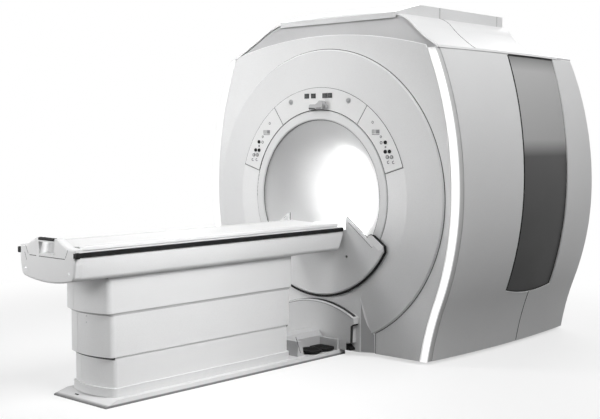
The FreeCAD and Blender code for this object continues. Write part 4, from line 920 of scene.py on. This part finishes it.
def make_dock_trim():
    """The dock's black edging, a gasket drawn thick so that it also paints the shade on the collar's bevel; the rib,
    pale with painted highlight, and the pale cap of each ear, with their joints; and the hole plugs.
    """
    right = [(0.505, DOCK_FACE, 0.814), (0.5845, DOCK_FACE, 0.759), (0.589, DOCK_FACE, 0.715)]
    half = degrees(asin(0.589 / 0.68))
    edge = right + ring_arc(0.68, DOCK_FACE, 180 - half, 180 + half, 90) + [(-x, y, z) for x, y, z in right[::-1]]
    # Partly a gasket and partly painted shade for the bevel beside it.
    bead("dock_edging_and_shade", [edge], BLACK, 0.0078, 14)
    rib = [(0.2665, 0.915), (0.4415, 0.7805), (0.488, 0.744), (0.4975, 0.757), (0.456, 0.7905), (0.2665, 0.934)]
    cap = [(0.444, 0.8), (0.46, 0.819), (0.478, 0.824), (0.492, 0.817), (0.58, 0.756), (0.564, 0.733),
           (0.542, 0.727)]
    cap_joint = [(0.442, 0.802), (0.459, 0.8215), (0.479, 0.8275), (0.505, 0.814)]
    ribs, caps, cap_joints = bmesh.new(), bmesh.new(), []
    for sign in (-1, 1):
        prism(ribs, rib, -0.9668, -0.963, sign=sign)
        prism(caps, cap, -0.965, -0.96, sign=sign)
        cap_joints.append([(sign * x, -0.96, z) for x, z in cap_joint])
    keep("collar_ribs", ribs, PALE_TRIM_HIGHLIGHT)
    rib_joints = [[(0.29, -0.9652, 0.895), (0.488, -0.9652, 0.7425)],
                  [(-0.275, -0.9652, 0.915), (-0.3103, -0.9652, 0.893)]]
    bead("collar_rib_joints", rib_joints, SEAM_GREY, 0.0019)
    keep("ear_caps", caps, PALE_TRIM_HIGHLIGHT)
    bead("ear_cap_joints", cap_joints, BLACK, 0.0024)
    plugs = bmesh.new()
    for x in (-0.269, 0.269):
        lathe(plugs, [(0, 0.0), (0.0042, 0.0), (0.0055, 0.0016), (0.0094, 0.002), (0.0098, 0.0), (0.0098, -0.004),
                      (0, -0.004)], (x, -0.952, 0.666), steps=28)
    keep("collar_hole_plugs", plugs, BLACK)


def make_apron_fittings():
    """Painted shade on the apron: black blocks in its corner notches and under its shoulders, a dark band over its top
    and wide dark bands down its edges; and the fine joint along its face and the housing's crease.
    """
    notch_shades = bmesh.new()
    corner = [(0.2885, 0.038), (0.2885, 0.078), (0.309, 0.064), (0.326, 0.05), (0.326, 0.038)]
    for sign in (-1, 1):
        prism(notch_shades, corner, -0.986, -0.939, sign=sign)
        block(notch_shades, (sign * 0.343 - 0.011, -0.9885, 0.208), (sign * 0.343 + 0.011, -0.94, 0.219), 0.0022)
    keep("apron_painted_shade_blocks", notch_shades, BLACK)
    # Wide dark bands down the apron's edges: painted shade.
    edges = [[(sign * 0.337, -0.985, 0.207), (sign * 0.333, -0.985, 0.0909)] for sign in (-1, 1)]
    bead("apron_side_painted_shade", edges, SEAM_GREY, 0.0085, 14)
    # A dark band over the apron's top: painted shade.
    thick = Vector((0, 0, 0.0014))
    rings = []
    for x in spaced(-0.344, 0.344, 48):
        front, back = (below(x, y, "dock_apron") for y in (-0.9785, -0.948))
        rings.append((front - thick, front + thick, back + thick, back - thick))
    seal = bmesh.new()
    skin(seal, rings)
    keep("apron_top_painted_shade", seal, SEAM_GREY)
    bead("housing_crease", [[(0.1895, -1.3794, 0.1687), (0.1895, -1.3329, 0.0562)]], SEAM_GREY, 0.0014)
    top = [(point.x, APRON_FACE, point.y) for point in follow((0.3475, 0.2545), ((-0.3475, 0.2545), 0.738, 1))]
    bead("apron_joint", [top], SEAM_GREY, 0.0011)


def make_inner_windings():
    """Inside the bore wall: copper rungs and end rings of the body coil, and the bolts of the vessel's end plates."""
    grown("coil_rungs", RUNGS, points_mesh(), COPPER, "gantry")
    bead("coil_rings", [ring_arc(0.3385, y, 0, 355, 71) for y in (-0.25, 0.25)], COPPER, 0.0032, closed=True)
    for name, y, way in (("vessel_bolts_front", -0.772, -1), ("vessel_bolts_rear", 0.772, 1)):
        spots = ring_arc(0.886, y, 0, 350, 35) + ring_arc(0.48, y, 7, 352, 23)
        bolts(name, spots, (0.011, 0.006), (0.0055, 0.004), way)


# ---- table pieces

def make_wipers_and_shade():
    """Grey lips that close the gap under each outer shroud and paint its shade, hanging deeper at its two ends as
    painted shadow; and a black strip of painted shadow under the tub's foot end.
    """
    for name, tier, low, finish, body in (("upper_wiper", 0, 0.505, LINE_GREY, "table"),
                                          ("middle_wiper", 1, 0.258, WIPER_SHADE_GREY, "middle_stage")):
        outer, inner = shroud_plan(tier, 0.0037), shroud_plan(tier + 1, -0.0006)
        # At the ends the lips hang lower, as painted shadow under the shroud's lip.
        shadow_drops = [0.016 if point.y < -2.84 or point.y > -1.46 else 0.0017 + 0.0006 * tier for point in inner]
        bottom, top = low + 0.0005, low + 0.006
        shape = bmesh.new()
        skin(shape, [[(point.x, point.y, bottom) for point in outer], [(point.x, point.y, top) for point in outer],
                     [(point.x, point.y, top) for point in inner],
                     [(point.x, point.y, bottom - fall) for point, fall in zip(inner, shadow_drops)]], closed=True)
        keep(name, shape, finish, body)
    # A black strip under the tub's foot end: painted shadow.
    top = max(vert.co.z for vert in NODES["upper_shroud"].data.vertices)
    outer, inner = ([point for point in shroud_plan(0, wall) if point.y < -2.885] for wall in (-0.0022, 0.0015))
    shape = bmesh.new()
    prism(shape, outer + inner[::-1], top - 0.0055, top - 0.0002, "z")
    keep("tub_painted_shadow", shape, GAP, "table")


def make_table_screws():
    """The two screws of the end cap, and two small ones in the middle shroud's foot end."""
    heads = bolts("cap_screw_heads", [(x, -3.148, 0.75) for x in (-0.2, 0.2)], (0.008, 0.004), (0.004, 0.0025), -1,
                  "table")
    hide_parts("table_screws")
    dots = [drop((0.01, -3.3, z), (0, 1, 0), "middle_shroud") for z in (0.479, 0.443)]
    bolts("shroud_screws", dots, (0.0052, 0.002), (0.0026, 0.001), -1, "middle_stage")


def make_grip():
    """The black grip over the web of the end cap, and the pocket behind the hand opening, pale as painted light for the
    brightness seen through it.
    """
    grip, pocket = bmesh.new(), bmesh.new()
    outline = [(-3.154, 0.919), (-3.1515, 0.9145), (-3.146, 0.9125), (-3.128, 0.9125), (-3.1245, 0.916),
               (-3.124, 0.922), (-3.1265, 0.9275), (-3.132, 0.9297), (-3.147, 0.9297), (-3.152, 0.927),
               (-3.154, 0.923)]
    prism(grip, outline, -0.0716, 0.0716, "x")
    piece = keep("grip_bar", grip, BLACK, "table")
    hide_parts("handle_grip")
    half, front, back, floor, top = 0.0715, -3.146, -3.0886, 0.8404, 0.902
    block(pocket, (-half, front, floor), (half, back, floor + 0.002))
    for sign in (-1, 1):
        block(pocket, (sign * 0.07, front, floor), (sign * 0.0718, back, top))
    block(pocket, (-half, back - 0.0016, floor), (half, back, top))
    keep("hand_pocket", pocket, PALE_TRIM_HIGHLIGHT, "table")


def make_cradle_lines():
    """Pairs of shallow moulded lines along the cradle, just inside its edges."""
    sunk = Vector((0, 0, 0.0004))
    lines = [[below(x, y, "cradle") - sunk for y in (-3.07, -1.0)] for x in (-0.192, -0.176, 0.176, 0.192)]
    bead("cradle_lines", lines, LINE_GREY, 0.0011, body="cradle")


def make_pedal_ribs():
    for body, y in (("pedal_foot_end", -1.206), ("pedal_bore_end", -1.08)):
        grown(f"{body}_ribs", RIBS, points_mesh(), BLACK, body, Start=(0.166, y - PAD_LONG / 2, 0.0584))


def make_base_fittings():
    """A levelling slot in the sloped edge at the foot end of the base."""
    corners = [below(x, y, "table_base")
               for x, y in ((-0.102, -2.911), (-0.068, -2.911), (-0.068, -2.902), (-0.102, -2.902))]
    shape = bmesh.new()
    skin(shape, [[corner + Vector((0, 0, rise)) for corner in corners] for rise in (0.0005, -0.002)])
    keep("base_slot", shape, GAP)


def make_end_cap_fittings():
    """Dark grey sheets in the cap's moulded slots as painted shade, and rubber blocks on its two upper corners."""
    slot_shades, blocks = bmesh.new(), bmesh.new()
    for outline in ([(-0.208, 0.84), (-0.191, 0.797), (-0.188, 0.798), (-0.205, 0.841)],
                    [(-0.198, 0.876), (-0.174, 0.832), (-0.171, 0.833), (-0.195, 0.877)],
                    [(0.168, 0.833), (0.171, 0.832), (0.195, 0.876), (0.192, 0.877)],
                    [(-0.072, 0.824), (0.166, 0.824), (0.166, 0.828), (-0.072, 0.828)],
                    [(-0.162, 0.825), (-0.097, 0.825), (-0.097, 0.829), (-0.162, 0.829)]):
        prism(slot_shades, outline, -3.1496, -3.1465)
    keep("cap_slot_fills", slot_shades, SEAM_GREY, "table")
    for sign in (-1, 1):
        block(blocks, (sign * 0.2545, -3.1538, 0.8325), (sign * 0.2715, -3.127, 0.866), 0.0045)
    keep("corner_blocks", blocks, BLACK, "table")


# ---- floor, light and camera

def seen_plainly(tree):
    """One where the camera, a mirror or a glass looks, and nought for the light that falls on the object."""
    rays = node(tree, "LightPath").outputs
    straight = sums(tree, "MAXIMUM", rays["Is Camera Ray"], rays["Is Transmission Ray"])
    return sums(tree, "MAXIMUM", straight, rays["Is Glossy Ray"])


def blend(tree, share, first, second, output):
    """Ends a floor's or world's tree with a mix of two shaders."""
    mixed = node(tree, "MixShader", Fac=share)
    tree.links.new(first, mixed.inputs[1])
    tree.links.new(second, mixed.inputs[2])
    tree.links.new(mixed.outputs["Shader"], tree.nodes[output].inputs["Surface"])


def make_floor():
    """A pale floor that keeps a soft shadow near the scanner and fades to the white background."""
    mesh = bpy.data.meshes.new("floor")
    mesh.from_pydata([(-30, -30, 0), (30, -30, 0), (30, 30, 0), (-30, 30, 0)], [], [(0, 1, 2, 3)])
    floor = new_object("floor", mesh)
    material, tree, shader = start_material("pale_floor")
    camera_sees = add(tree, "LightPath", take="Is Camera Ray")
    give(tree, shader, Base_Color=ramp(tree, camera_sees, [(0.0, 0.16), (1.0, 0.9)]), Roughness=0.7)
    centred = add(tree, "Mapping", Vector=add(tree, "TexCoord", take="Object"), Location=(0, 1.1, 0))
    away = add(tree, "VectorMath", {"operation": "LENGTH"}, Vector=centred)
    fade = add(tree, "MapRange", {"interpolation_type": "SMOOTHSTEP"}, Value=away, From_Min=2.2, From_Max=4.6,
               To_Min=0.6)
    white = add(tree, "Emission", Color=grey(1), Strength=1.0)
    blend(tree, sums(tree, "MULTIPLY", fade, seen_plainly(tree)), shader.outputs["BSDF"], white, "Material Output")
    mesh.materials.append(material)


def make_world():
    """White to the camera, mirrors and glass; a soft dome, brighter overhead, to everything else."""
    world = bpy.data.worlds.new("studio")
    bpy.context.scene.world = world
    world.use_nodes = True
    tree = world.node_tree
    dome = tree.nodes["Background"]
    level = along(tree, "Z", -0.3, 0.9, "Generated")
    give(tree, dome, Color=ramp(tree, level, [(0.0, 0.03), (0.35, 0.16), (1.0, 1.0)]), Strength=0.03)
    white = add(tree, "Background", Color=grey(1), Strength=1.0)
    blend(tree, seen_plainly(tree), dome.outputs["Background"], white, "World Output")


# name, place, what it is aimed at, size, power, and the spread in degrees
LIGHTS = (
    ("overhead_box", (-0.8, -4.4, 5.6), (0, -0.8, 1.4), 3.2, 22, 180),
    ("ceiling_box", (0, 0.3, 6.5), (0, 0, 2), 4.0, 40, 180),
    ("high_right_box", (4.6, -1.3, 6.3), (0.9, -0.3, 1.8), 2.4, 305, 180),
    ("high_left_box", (-2.6, -3.6, 4.6), (-0.7, -0.9, 1.9), 1.6, 17, 70),
    ("low_left_box", (-5.0, -6.5, 1.6), (-0.4, -1.5, 1.0), 2.5, 185, 180),
    ("table_side_box", (3.0, -2.9, 2.7), (0.2, -2.5, 0.45), 1.4, 11, 55),
    ("table_end_box", (-0.6, -6.6, 1.9), (0, -3.1, 0.5), 1.6, 4.8, 60),
    ("rear_box", (-2.6, 7.0, 3.2), (0.0, 0.9, 1.3), 4.6, 150, 180),
    ("rear_left_box", (-5.5, 5.5, 4.2), (-0.8, 0.6, 1.4), 3.0, 130, 180))


def make_lights():
    for name, place, target, size, power, spread_deg in LIGHTS:
        light = bpy.data.lights.new(name, "AREA")
        light.energy = power
        light.size = size
        light.spread = radians(spread_deg)
        thing = new_object(name, light)
        thing.location = place
        thing.rotation_euler = (Vector(target) - Vector(place)).to_track_quat("-Z", "Y").to_euler()


def make_camera():
    lens = bpy.data.cameras.new("camera")
    camera = new_object("camera", lens)
    bpy.context.scene.camera = camera
    lens.sensor_width = 36
    lens.lens = 64.05
    camera.location = (4.84, -6.446, 1.472)
    yaw, pitch = radians(42.32), radians(3.92)
    ahead = Vector((-sin(yaw) * cos(pitch), cos(yaw) * cos(pitch), -sin(pitch)))
    camera.rotation_euler = ahead.to_track_quat("-Z", "Y").to_euler()


for make in (finish_nodes, make_light_strips, make_keys, make_keypad_marks, make_displays, make_lenses,
             make_projector_window, make_seams, make_trims, make_inlay_gaskets, make_rear_fittings, make_panel_joints,
             make_rear_rail, make_flank_shades, make_dock_trim, make_apron_fittings, make_inner_windings, make_wipers_and_shade,
             make_table_screws, make_grip, make_cradle_lines, make_pedal_ribs, make_base_fittings,
             make_end_cap_fittings, make_floor, make_world, make_lights, make_camera):
    make()
bpy.context.scene.view_settings.view_transform = "Standard"
